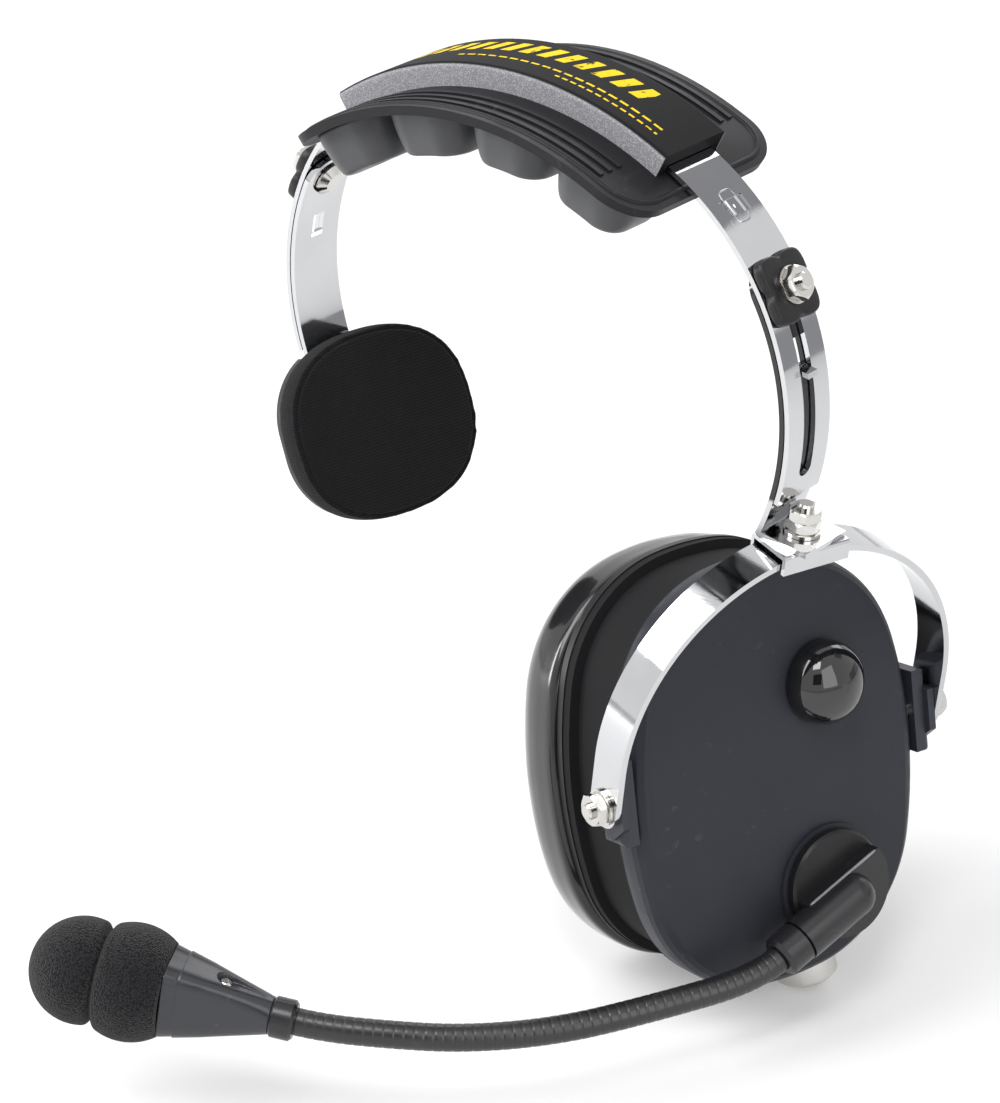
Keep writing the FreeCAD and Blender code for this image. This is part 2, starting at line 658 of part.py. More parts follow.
def clamp(prefix, side, angle):
    """Clamp of one slider: round-headed bolt, plate over the band, washer and nut."""
    place = radial(side, angle)
    block_low = band_out + d.slider_gap
    block_top = band_out + d.clamp_high
    washer_top = block_top + d.washer_thick
    nut_top = washer_top + d.nut_high
    body = new_body(prefix + "_clamp_block", place)
    half_long = d.clamp_long / 2
    bevel = 0.5
    start = slider_out - d.slider_gap
    block = [(-half_long, start), (half_long, start), (half_long, block_top - bevel),
             (half_long - bevel, block_top), (bevel - half_long, block_top), (-half_long, block_top - bevel)]
    pad(body, draw(body, UPRIGHT, [block]), d.clamp_wide, both_ways=True)
    hollow_angle = 14
    hollow = sector(slider_in - d.clamp_high, block_low, 90 - hollow_angle, 90 + hollow_angle)
    pocket(body, draw(body, UPRIGHT, [hollow]), d.strip_width * 2, both_ways=True)
    hole = draw(body, shifted(0, 0, slider_in.value), circles=[(0, 0, d.screw_radius)])
    pocket(body, hole, d.clamp_high * 3, reversed_way=True)
    soften(body, d.clamp_round, lambda edge: along(Z_AXIS)(edge)
           and abs(edge.CenterOfMass.y) > d.clamp_wide.value / 2 - 0.1)
    neck = d.screw_radius
    head_top = slider_in - seat_sag(d.bolt_head_radius, slider_in)
    head_low = head_top - d.bolt_head_high
    turned(prefix + "_slider_bolt", [
        (0, head_low), (d.bolt_head_radius * 0.55, head_low),
        (d.bolt_head_radius, head_top - 0.5), (d.bolt_head_radius, head_top), (neck, head_top),
        (neck, nut_top + d.thread_end - 0.4), (neck - 0.4, nut_top + d.thread_end),
        (0, nut_top + d.thread_end)], place)
    ring(prefix + "_clamp_washer", neck, d.washer_radius, block_top, washer_top, place)
    hex_nut(prefix + "_clamp_nut", neck, d.nut_flats, washer_top, nut_top, place)


def pan_screw(label, head_low, end, place):
    """Screw whose head lies below head_low and whose shank reaches end."""
    shank = d.screw_radius
    return turned(label, [
        (0, head_low - d.pan_head_high), (d.pan_head_radius * 0.7, head_low - d.pan_head_high),
        (d.pan_head_radius, head_low - d.pan_head_high * 0.45), (d.pan_head_radius, head_low),
        (shank, head_low), (shank, end - 0.4), (shank - 0.4, end), (0, end)], place)


def yoke():
    """Arched strip whose legs end in eyes on the cup's pivot screws."""
    body = new_body("yoke", YOKE)
    outer = d.yoke_radius + d.yoke_thick / 2
    inner = d.yoke_radius - d.yoke_thick / 2
    eye = d.yoke_wide / 2
    arch = [(-outer, d.yoke_leg), (-outer, -eye), (-inner, -eye), (-inner, d.yoke_leg),
            (0, d.yoke_leg + inner, -inner), (inner, d.yoke_leg, -inner), (inner, -eye), (outer, -eye),
            (outer, d.yoke_leg), (0, d.yoke_leg + outer, outer)]
    arch[0] = (-outer, d.yoke_leg, outer)
    pad(body, draw(body, SIDEWAYS, [arch]), d.yoke_wide, both_ways=True)
    soften(body, eye - 0.3, lambda edge: along(Y_AXIS)(edge) and edge.CenterOfMass.z < 1 - eye.value)
    hole = d.screw_radius + d.run_clear
    pocket(body, draw(body, UPRIGHT, circles=[(0, 0, hole)]), outer * 3, both_ways=True)
    pocket(body, draw(body, shifted(0, 0, yoke_in.value - 3), circles=[(0, 0, d.screw_radius)]),
           d.yoke_thick * 5, reversed_way=True)
    return body


def yoke_bracket():
    """Folded channel over the yoke's crown."""
    body = new_body("yoke_bracket", YOKE)
    half = d.yoke_wide / 2 + d.slider_gap
    out = half + d.bracket_thick
    low = bracket_top - d.bracket_drop
    channel = [(-out, low), (-half, low), (-half, bracket_low), (half, bracket_low), (half, low),
               (out, low), (out, bracket_top), (-out, bracket_top)]
    pad(body, draw(body, UPRIGHT, [channel]), d.bracket_long, both_ways=True)
    soften(body, d.bracket_thick * 0.9, lambda edge: along(Y_AXIS)(edge)
           and edge.CenterOfMass.z > bracket_top.value - 0.05)
    hole = draw(body, shifted(0, 0, bracket_low.value - 1), circles=[(0, 0, d.screw_radius)])
    pocket(body, hole, d.bracket_thick * 4, reversed_way=True)
    return body


def swivel_stack():
    """Screw from under the yoke's crown, with a washer and two nuts over the foot."""
    washer_low = foot_top + d.face_gap
    washer_top = washer_low + d.washer_thick
    nut_top = washer_top + d.nut_high
    lock_top = nut_top + d.nut_high
    head_top = yoke_in - seat_sag(d.pan_head_radius, d.yoke_radius)
    pan_screw("swivel_screw", head_top, lock_top + d.thread_end, YOKE)
    ring("swivel_washer", d.screw_radius, d.washer_radius, washer_low, washer_top, YOKE)
    hex_nut("swivel_nut", d.screw_radius, d.nut_flats, washer_top, nut_top, YOKE)
    hex_nut("swivel_lock_nut", d.screw_radius, d.nut_flats, nut_top, lock_top,
            YOKE * turned_about(Z_AXIS, 25))


# The ear cup, in a frame at its outline's middle: X out of the face, Y back, Z up

def oval_corner(half_wide, half_high, side_radius, end_radius, corner_radius):
    """Tangent points of an outline of eight arcs, as (to the side arc, to the end arc)."""
    sx = half_wide - side_radius
    ez = half_high - end_radius
    r_side = side_radius - corner_radius
    r_end = end_radius - corner_radius
    gap_x = 0 - sx
    gap_z = ez
    gap = math.hypot(gap_x, gap_z)
    reach = (r_side ** 2 - r_end ** 2 + gap ** 2) / (2 * gap)
    rise = math.sqrt(max(r_side ** 2 - reach ** 2, 0))
    ux, uz = gap_x / gap, gap_z / gap
    cx = sx + reach * ux - rise * uz
    cz = reach * uz + rise * ux
    if cx < 0 or cz < 0:
        cx = sx + reach * ux + rise * uz
        cz = reach * uz - rise * ux
    side = (sx + (cx - sx) * side_radius / r_side, cz * side_radius / r_side)
    end = (cx * end_radius / r_end, ez + (cz - ez) * end_radius / r_end)
    return side, end, (cx, cz)


def oval_wire(level, inset, half_wide, half_high):
    """Closed outline at an X level, drawn in by an inset from two half sizes."""
    half_wide = half_wide.value - inset
    half_high = half_high.value - inset
    side_radius = d.cup_side_radius.value - inset
    end_radius = d.cup_end_radius.value - inset
    corner_radius = d.cup_corner_radius.value - inset
    squeeze = half_wide / (d.cup_half_wide.value - inset)
    side_radius = side_radius * squeeze
    end_radius = end_radius * squeeze
    corner_radius = corner_radius * squeeze
    side, end, centre = oval_corner(half_wide, half_high, side_radius, end_radius, corner_radius)
    cx, cz = centre
    middle = math.atan2((side[1] + end[1]) / 2 - cz, (side[0] + end[0]) / 2 - cx)
    bend = (cx + corner_radius * math.cos(middle), cz + corner_radius * math.sin(middle))

    def at(y, z):
        return Vector(level, y, z)

    edges = []
    for sy, sz in ((1, 1), (-1, 1), (-1, -1), (1, -1)):
        edges.append(Part.Arc(at(sy * side[0], sz * side[1]), at(sy * bend[0], sz * bend[1]),
                              at(sy * end[0], sz * end[1])))
    for way in (1, -1):
        edges.append(Part.Arc(at(end[0], way * end[1]), at(0, way * half_high), at(-end[0], way * end[1])))
        edges.append(Part.Arc(at(way * side[0], side[1]), at(way * half_wide, 0),
                              at(way * side[0], -side[1])))
    shapes = [edge.toShape() for edge in edges]
    return Part.Wire(Part.__sortEdges__(shapes))


def oval_prism(low, high, inset, half_wide=None, half_high=None):
    wire = oval_wire(low, inset, half_wide or d.cup_half_wide, half_high or d.cup_half_high)
    return Part.Face(wire).extrude(Vector(high - low, 0, 0))


def cylinder_x(radius, low, high, y=0.0, z=0.0):
    return Part.makeCylinder(radius, high - low, Vector(low, y, z), X_AXIS)


def block_between(low, high):
    """Box between two opposite corners."""
    low, high = Vector(*low), Vector(*high)
    sides = high - low
    return Part.makeBox(sides.x, sides.y, sides.z, low)


def feature(label, shape, place):
    """Piece whose solid is worked out from the sheet by its own function."""
    piece = doc.addObject("Part::Feature", "Solid_" + label)
    piece.Label = label
    piece.Shape = shape
    piece.Placement = place
    return piece


face = d.cup_face.value
rim = face - d.cup_depth.value
wall = d.cup_wall.value
draft = d.rim_draft.value
lining = wall + d.waist_deep.value
beyond = 5.0
wide = d.cup_half_high.value * 1.2
seat_edge = d.boom_disc_radius.value + 1
seat_share = 0.9
drop = d.cup_drop.value
boom_y = d.boom_back.value
boom_z = drop - d.boom_down.value
knob_y = d.knob_back.value
knob_z = d.knob_up.value + drop
seat_level = face + d.boom_seat_high.value
bottom_centre = d.cup_end_radius.value - d.cup_half_high.value
socket_turn = d.socket_turn.value
SOCKET_AXIS = Vector(0, math.sin(math.radians(socket_turn)), -math.cos(math.radians(socket_turn)))
socket_seat = d.cup_end_radius.value + d.soft_gap.value
SOCKET_POINT = Vector(-d.socket_in.value, 0, bottom_centre) + SOCKET_AXIS * socket_seat
SOCKET = CUP_MIDDLE * frame(SOCKET_POINT, X_AXIS, SOCKET_AXIS)
KNOB = CUP_MIDDLE * frame(Vector(0, knob_y, knob_z), Y_AXIS, X_AXIS)
BOOM = CUP_MIDDLE * frame(Vector(0, boom_y, boom_z), Y_AXIS, X_AXIS)


def face_level(y, z, inset=0.0):
    """Height of the crowned face over the pivot axis."""
    radius = d.cup_crown_radius.value
    return face - inset - (radius - math.sqrt(radius ** 2 - y * y - z * z))


def waist():
    """Ring taken out of the cup's wall between its lip and its rim flange."""
    low = rim + d.rim_flange.value
    high = face - d.lip_deep.value
    deep = d.waist_deep.value
    slope = deep * 0.4
    margin = slope * 0.25
    around = 1.0
    steps = [(low - margin, -deep), (low + slope, deep), (high - slope, deep), (high + margin, -deep)]
    core = Part.makeLoft([oval_wire(level, inset, d.cup_half_wide, d.cup_half_high)
                          for level, inset in steps], True, True)
    return oval_prism(low, high, -around).cut(core)


def cup_shell():
    """Crowned cup with a rounded shoulder, a lip, a drawn-in wall and a flange at its open rim."""
    radius = d.cup_crown_radius.value
    turn = d.cup_shoulder.value
    start = face_level(d.cup_half_wide.value - turn, 0) - turn
    wires = [oval_wire(rim, draft, d.cup_half_wide, d.cup_half_high)]
    for angle in (0, 20, 40, 60, 78):
        inset = turn * (1 - math.cos(math.radians(angle)))
        level = start + turn * math.sin(math.radians(angle))
        wires.append(oval_wire(level, inset, d.cup_half_wide, d.cup_half_high))
    wires.append(oval_wire(face + beyond, inset, d.cup_half_wide, d.cup_half_high))
    outer = Part.makeLoft(wires, True, True)
    outer = outer.common(Part.makeSphere(radius, Vector(face - radius, 0, 0)))
    boss = Part.makeCylinder(d.socket_radius.value + 1, lining + 2 * beyond,
                             SOCKET_POINT - SOCKET_AXIS * (lining + beyond), SOCKET_AXIS)
    outer = outer.cut(waist()).fuse(outer.common(boss))
    inner = oval_prism(rim - 1, face, lining)
    inner = inner.common(Part.makeSphere(radius - wall, Vector(face - radius, 0, 0)))
    shell = outer.fuse(cylinder_x(seat_edge, face - wall, seat_level, boom_y, boom_z))
    shell = shell.cut(inner)
    shell = shell.cut(cylinder_x(seat_edge, face - wall - beyond, face - wall * seat_share, boom_y, boom_z))
    shell = shell.cut(cylinder_x(d.stem_radius.value + d.run_clear.value, rim, face + beyond, boom_y, boom_z))
    shell = shell.cut(cylinder_x(d.bush_radius.value + d.run_clear.value, 0, face + beyond, knob_y, knob_z))
    hole_low = lining + 2 * beyond
    socket_hole = Part.makeCylinder(d.socket_body.value + d.run_clear.value, hole_low + beyond,
                                    SOCKET_POINT - SOCKET_AXIS * hole_low, SOCKET_AXIS)
    shell = shell.cut(socket_hole)
    stud_hole = lining + beyond
    for way in (1, -1):
        start = Vector(0, way * (d.cup_half_wide.value - stud_hole), drop)
        shell = shell.cut(Part.makeCylinder(d.screw_radius.value, 2 * stud_hole, start, Vector(0, way, 0)))
    return feature("cup_shell", shell.removeSplitter(), CUP_MIDDLE)


def pivot_block(label, way):
    """Rounded slab on the cup's wall with a five-sided boss under the yoke's eye."""
    wall_face = d.cup_half_wide
    block_face = wall_face + d.block_thick
    boss_face = d.yoke_radius - d.yoke_thick / 2 - d.face_gap
    body = new_body(label, CUP * turned_about(Z_AXIS, 0 if way > 0 else 180))
    low = (-d.block_out if way < 0 else d.block_out - d.block_wide)
    high = low + d.block_wide
    half = d.block_long / 2
    base = draw(body, shifted(), [rectangle(low, wall_face, high, block_face)])
    base.setExpression("AttachmentOffset.Base.z", (-half).text)
    pad(body, base, d.block_long)
    soften(body, 1.6, lambda edge: edge.CenterOfMass.y > block_face.value - 0.05)
    shoulder = d.boss_half
    boss = [(-shoulder, shoulder), (-shoulder, -shoulder), (0, -d.boss_tip), (shoulder, -shoulder),
            (shoulder, shoulder)]
    pad(body, draw(body, shifted(0, boss_face.value, 0) * UPRIGHT, [boss[::-1]]), boss_face - block_face + 1)
    hole = draw(body, shifted(0, boss_face.value + 1, 0) * UPRIGHT, circles=[(0, 0, d.screw_radius)])
    pocket(body, hole, 9, reversed_way=True)
    return body


def pivot_screws():
    """Stud through the cup's wall and block at each pivot, with a washer and nut outside the yoke."""
    stud_low = d.cup_half_wide - d.cup_wall
    shank = d.screw_radius
    washer_low = d.yoke_radius + d.yoke_thick / 2 + d.face_gap
    washer_top = washer_low + d.washer_thick
    nut_top = washer_top + d.nut_high
    screws, washers, nuts = [], [], []
    for name, way in (("front", -1), ("rear", 1)):
        place = CUP * turned_about(X_AXIS, -90 * way)
        end = nut_top + d.thread_end
        stud = [(0, stud_low), (shank, stud_low), (shank, end - 0.4), (shank - 0.4, end), (0, end)]
        screws.append(turned(name + "_pivot_screw", stud, place))
        washers.append(ring(name + "_pivot_washer", d.screw_radius, d.washer_radius,
                            washer_low, washer_top, place))
        nuts.append(hex_nut(name + "_pivot_nut", d.screw_radius, d.nut_flats, washer_top, nut_top,
                            place * turned_about(Z_AXIS, 12)))
        pivot_block("pivot_block_" + name, way)
    group("pivot_screws", screws)
    group("pivot_washers", washers)
    group("pivot_nuts", nuts)


def baffle():
    """Plate that closes the cup, with a ring of sound holes in front of the speaker."""
    edge_inset = 0.6
    hole_radius = 1.5
    shape = oval_prism(rim - d.baffle_thick.value, rim, edge_inset)
    for ring_radius, count in ((0, 1), (5.5, 6), (10.5, 12)):
        for i in range(count):
            turn = 2 * math.pi * i / count
            y = ring_radius * math.cos(turn)
            z = ring_radius * math.sin(turn)
            shape = shape.cut(cylinder_x(hole_radius, rim - beyond, rim + beyond, y, z))
    return feature("baffle_plate", shape, CUP_MIDDLE)


def ear_seal():
    """Padded ring: drawn-in sides, full crown and a sloped opening."""
    back = rim - d.baffle_thick.value
    thick = d.seal_thick.value
    outside = [(0.0, 2.6), (0.12, 0.9), (0.38, 0.0), (0.62, 0.1), (0.84, 1.7), (0.95, 3.9), (1.0, 7.2)]
    wires = [oval_wire(back - share * thick, inset, d.seal_half_wide, d.seal_half_high)
             for share, inset in outside]
    body = Part.makeLoft(wires, True, False)
    inside = [(-0.1, -1.8), (0.3, 0.0), (0.6, 0.1), (0.85, -1.4), (1.1, -5.2)]
    wires = [oval_wire(back - share * thick, inset, d.ear_half_wide, d.ear_half_high)
             for share, inset in inside]
    opening = Part.makeLoft(wires, True, False)
    return feature("ear_seal", body.cut(opening), CUP_MIDDLE * shifted(0, 0, -d.seal_low.value))


def speaker():
    """Speaker behind the baffle: frame, cone and magnet, with a foam in front."""
    base = CUP_MIDDLE * frame(Vector(rim, 0, 0), Y_AXIS, X_AXIS)
    deep = d.speaker_deep
    edge = d.speaker_radius
    inner = d.magnet_radius - 2
    turned("speaker_frame", [
        (edge - 3, 0), (edge, 0), (edge, 1.5), (edge - 2, 1.5), (d.magnet_radius, deep),
        (inner, deep), (inner, deep - 1.2), (d.magnet_radius - 0.6, deep - 1.2), (edge - 3, 1.2)], base)
    turned("speaker_cone", [
        (0, deep - 4), (4, deep - 4), (edge - 4.5, 0.8), (edge - 3.2, 0.8), (edge - 3.2, 1.1),
        (edge - 4.2, 1.1), (4, deep - 3.4), (0, deep - 3.4)], base)
    ring("speaker_magnet", 0, d.magnet_radius, deep, deep + d.magnet_deep, base)
    foam_inset = 2.2
    foam_thick = 2.1
    high = rim - d.baffle_thick.value - d.face_gap.value
    foam = oval_prism(high - foam_thick, high, 0, d.ear_half_wide - foam_inset, d.ear_half_high - foam_inset)
    feature("speaker_foam", foam, CUP_MIDDLE)


def liner():
    """Foam lining of the cup, open at the bottom for the socket and the boom's nut."""
    foam_thick = 4.7
    end_gap = 5.0
    open_below = -20.0
    foam_out = lining + d.slider_gap.value
    outer = oval_prism(rim + end_gap, face - wall - end_gap, foam_out)
    outer = outer.cut(oval_prism(rim, face, foam_out + foam_thick))
    outer = outer.cut(block_between((rim, -wide, -wide), (face, wide, open_below)))
    for way in (1, -1):
        start = Vector(0, way * (d.cup_half_wide.value - lining - 2 * foam_thick), drop)
        outer = outer.cut(Part.makeCylinder(d.screw_radius.value + 1, wide, start, Vector(0, way, 0)))
    return feature("cup_liner", outer, CUP_MIDDLE)


def volume_control():
    """Rotary control through the face: body, shaft, nut and knob."""
    skin = face_level(knob_y, knob_z)
    crown_sag = 0.4
    inside = skin - wall - crown_sag
    body_low = inside - d.control_high.value
    bush_top = skin + d.bush_out.value
    knob_low = skin + d.knob_gap.value
    knob_top = knob_low + d.knob_high.value
    shaft = d.shaft_radius
    clear = shaft + d.run_clear
    turned("volume_control", [
        (0, body_low), (d.control_radius, body_low), (d.control_radius, inside - 0.1),
        (d.bush_radius, inside - 0.1), (d.bush_radius, bush_top), (clear, bush_top),
        (clear, body_low + 3), (0, body_low + 3)], KNOB)
    turned("volume_shaft", [
        (0, body_low + 3.1), (shaft, body_low + 3.1), (shaft, knob_top - 3), (0, knob_top - 3)], KNOB)
    hex_nut("volume_nut", d.bush_radius, as_size(10), as_size(skin + 0.4), as_size(skin + 2.2), KNOB)
    outer = d.knob_radius
    recess = outer - 2.2
    turned("volume_knob", [
        (shaft, knob_low + 3.4), (recess, knob_low + 3.4), (recess, knob_low), (outer, knob_low),
        (outer, knob_low + 1.6), (outer * 0.93, knob_low + 4.4, outer * 1.02),
        (outer * 0.5, knob_top - 1.0, outer * 0.85), (outer * 0.12, knob_top, outer * 1.3), (0, knob_top),
        (0, knob_top - 3), (shaft, knob_top - 3)], KNOB)
    board_thick = 1.6
    board_low = body_low - board_thick - d.face_gap.value
    size = d.control_radius.value
    board_place = frame(Vector(board_low, knob_y - size / 2, knob_z), Y_AXIS, X_AXIS)
    board = new_body("circuit_board", CUP_MIDDLE * board_place)
    board_outline = rectangle(-size * 2.5, -size * 1.25, size * 1.5, size * 1.25)
    pad(board, draw(board, shifted(), [board_outline]), board_thick)


def boom():
    """Turntable, arm, collar and the stem that holds them through the cup's face."""
    base = seat_level + d.face_gap.value
    top = base + d.boom_disc_thick.value
    stem = d.stem_radius
    inside = face - wall * seat_share
    washer_top = inside - d.face_gap.value
    washer_low = washer_top - 1.0
    nut_high = 3.2
    nut_top = washer_low - d.face_gap.value
    stem_end = nut_top - nut_high - d.washer_thick.value
    hub_inset = 1.0
    turned("boom_turntable", [
        (stem, base), (d.boom_disc_radius - 0.6, base), (d.boom_disc_radius, base + 0.6),
        (d.boom_disc_radius, top - 0.6), (d.boom_disc_radius - 0.6, top), (stem, top)], BOOM)
    turned("boom_stem", [(2.0, stem_end), (stem, stem_end), (stem, top), (2.0, top)], BOOM)
    ring("boom_washer", stem, stem + 4, washer_low, washer_top, BOOM)
    hex_nut("boom_nut", stem, as_size(12), as_size(nut_top - nut_high), as_size(nut_top), BOOM)
    arm_place = BOOM * turned_about(Z_AXIS, 180 + d.boom_dip.value)
    centre = Vector(0, d.boom_offset.value, d.boom_level.value)
    line = frame(centre, Z_AXIS, X_AXIS)
    radius = d.arm_radius.value
    reach = d.arm_length.value
    tall = d.boom_level.value - top
    hub = Part.makeCylinder(d.boom_disc_radius.value - hub_inset, tall, Vector(0, 0, top), Z_AXIS)
    half_disc = hub.common(block_between((-wide, -d.hub_past.value, 0), (wide, wide, wide)))
    tube = Part.makeCylinder(radius, reach, centre, X_AXIS)
    elbow = Part.makeSphere(radius, centre)
    above = block_between((-wide, -wide, top), (wide, wide, wide))
    disc_edge = d.boom_disc_radius.value + d.slider_gap.value
    past_disc = block_between((disc_edge, -wide, -wide), (wide, wide, wide))
    arm = half_disc.fuse([tube.common(above), elbow.common(above), tube.common(past_disc)])
    wire_start = centre + X_AXIS * d.stem_radius.value
    wire_way = Part.makeCylinder(d.neck_bore.value, reach + beyond, wire_start, X_AXIS)
    feature("boom_arm", arm.cut(wire_way).removeSplitter(), arm_place)
    end = arm_place * line
    low = d.arm_length
    high = d.arm_length + d.collar_length
    bore = d.neck_radius
    outer = d.collar_radius
    collar = turned("boom_collar", [
        (d.neck_bore, low), (outer - 0.5, low), (outer, low + 0.5), (outer, high - 0.9),
        (outer - 0.9, high), (bore, high), (bore, high - d.neck_seat), (d.neck_bore, high - d.neck_seat)],
        end)
    screw_back = 3.2
    screw_place = shifted(0, 0, (high - screw_back).value) * turned_about(Y_AXIS, -90)
    pocket(collar, draw(collar, screw_place, circles=[(0, 0, d.collar_screw_radius)]), outer * 2,
           reversed_way=True)
    side = end * screw_place
    shank = d.collar_screw_radius - 0.02
    turned("collar_screw", [
        (0, bore + 0.1), (shank, bore + 0.1), (shank, outer + 0.1), (1.9, outer + 0.1), (1.9, outer + 0.9),
        (1.3, outer + 1.4), (0, outer + 1.4)], side)
    return end * shifted(0, 0, high.value)


# The gooseneck's route from the boom's collar to the microphone, chosen by hand
NECK_ROUTE = [(68.6, -47.9, -177.8), (56.8, -67.1, -178.7), (42.6, -84.0, -177.9),
              (28.2, -97.9, -174.9), (18.1, -104.5, -173.9), (12.8, -107.5, -172.8)]
ARC_SHARE = 0.45


def route_pieces(points):
    """Straight runs joined by tangent arcs, as (length, function of distance)."""
    pieces = []
    here = points[0]
    for i in range(1, len(points) - 1):
        before = (points[i] - points[i - 1])
        after = (points[i + 1] - points[i])
        turn = before.getAngle(after)
        run = min(before.Length, after.Length)
        radius = ARC_SHARE * run / math.tan(turn / 2)
        cut = ARC_SHARE * run
        before.normalize()
        after.normalize()
        start = points[i] - before * cut
        pieces.append(("line", (start - here).Length, here, before))
        normal = before.cross(after).normalize()
        centre = start + normal.cross(before) * radius
        pieces.append(("arc", radius * turn, centre, normal, start, before, radius))
        here = points[i] + after * cut
        print("gooseneck arc radius %.1f mm, turn %.1f degrees" % (radius, math.degrees(turn)))
    last = points[-1] - here
    pieces.append(("line", last.Length, here, Vector(last).normalize()))
    return pieces


def route_at(pieces, distance):
    """Point and direction at a distance along the route."""
    for piece in pieces:
        if distance <= piece[1] or piece is pieces[-1]:
            if piece[0] == "line":
                return piece[2] + piece[3] * distance, Vector(piece[3])
            turn = Rotation(piece[3], math.degrees(distance / piece[6]))
            return piece[2] + turn.multVec(piece[4] - piece[2]), turn.multVec(piece[5])
        distance -= piece[1]


def gooseneck(start):
    """Ribbed flexible tube with its bore."""
    seat = d.neck_seat.value - d.face_gap.value
    start_point = start.Base
    points = [start_point, start * Vector(0, 0, d.neck_first.value)] + [Vector(*p) for p in NECK_ROUTE]
    pieces = route_pieces(points)
    total = sum(piece[1] for piece in pieces)
    first = points[1] - points[0]
    pieces[0] = ("line", pieces[0][1] + seat, points[0] - Vector(first).normalize() * seat, pieces[0][3])
    total += seat
    pitch = d.neck_pitch.value
    count = int((total - 2 * pitch) / pitch)
    margin = (total + seat - count * pitch) / 2
    root = d.neck_root.value
    crest = d.neck_radius.value - 0.02
    stations = [(0.0, root)]
    for i in range(count):
        low = margin + i * pitch
        stations += [(low, root), (low + 0.25 * pitch, root), (low + 0.45 * pitch, crest),
                     (low + 0.8 * pitch, crest)]
    stations.append((total + seat, root))

    def circle_wire(distance, radius):
        point, direction = route_at(pieces, distance)
        x_dir = direction.cross(Z_AXIS).cross(direction).normalize()
        circle = Part.makeCircle(radius, Vector(), Z_AXIS)
        circle.Placement = frame(point, x_dir, direction)
        return Part.Wire([circle])

    tube = Part.makeLoft([circle_wire(distance, radius) for distance, radius in stations], True, True)
    bore_steps = 48
    bore_margin = 1.0
    bore_long = total + seat + 2 * bore_margin
    inside = [circle_wire(bore_long * i / bore_steps - bore_margin, d.neck_bore.value)
              for i in range(bore_steps + 1)]
    tube = tube.cut(Part.makeLoft(inside, True, True))
    print("gooseneck: %d ribs, %.1f mm along its middle" % (count, total + seat))
    feature("gooseneck", tube, WORLD)
    end, direction = route_at(pieces, total)
    return frame(end, Z_AXIS, direction)


def rounded_wire(half_x, half_y, corner, place):
    """Closed rectangle with round corners in a placement's XY plane."""
    least_flat = 0.02
    corner = min(corner, half_x * (1 - least_flat), half_y * (1 - least_flat))
    x, y = half_x - corner, half_y - corner
    diagonal = corner * math.sqrt(0.5)
    edges = []
    for sx, sy in ((1, 1), (-1, 1), (-1, -1), (1, -1)):
        side = Vector(sx * half_x, sy * y, 0)
        top = Vector(sx * x, sy * half_y, 0)
        middle = Vector(sx * (x + diagonal), sy * (y + diagonal), 0)
        edges.append(Part.Arc(side, middle, top))
    for way in (1, -1):
        edges.append(Part.LineSegment(Vector(x, way * half_y, 0), Vector(-x, way * half_y, 0)))
        edges.append(Part.LineSegment(Vector(way * half_x, y, 0), Vector(way * half_x, -y, 0)))
    wire = Part.Wire(Part.__sortEdges__([edge.toShape() for edge in edges]))
    wire.Placement = place
    return wire


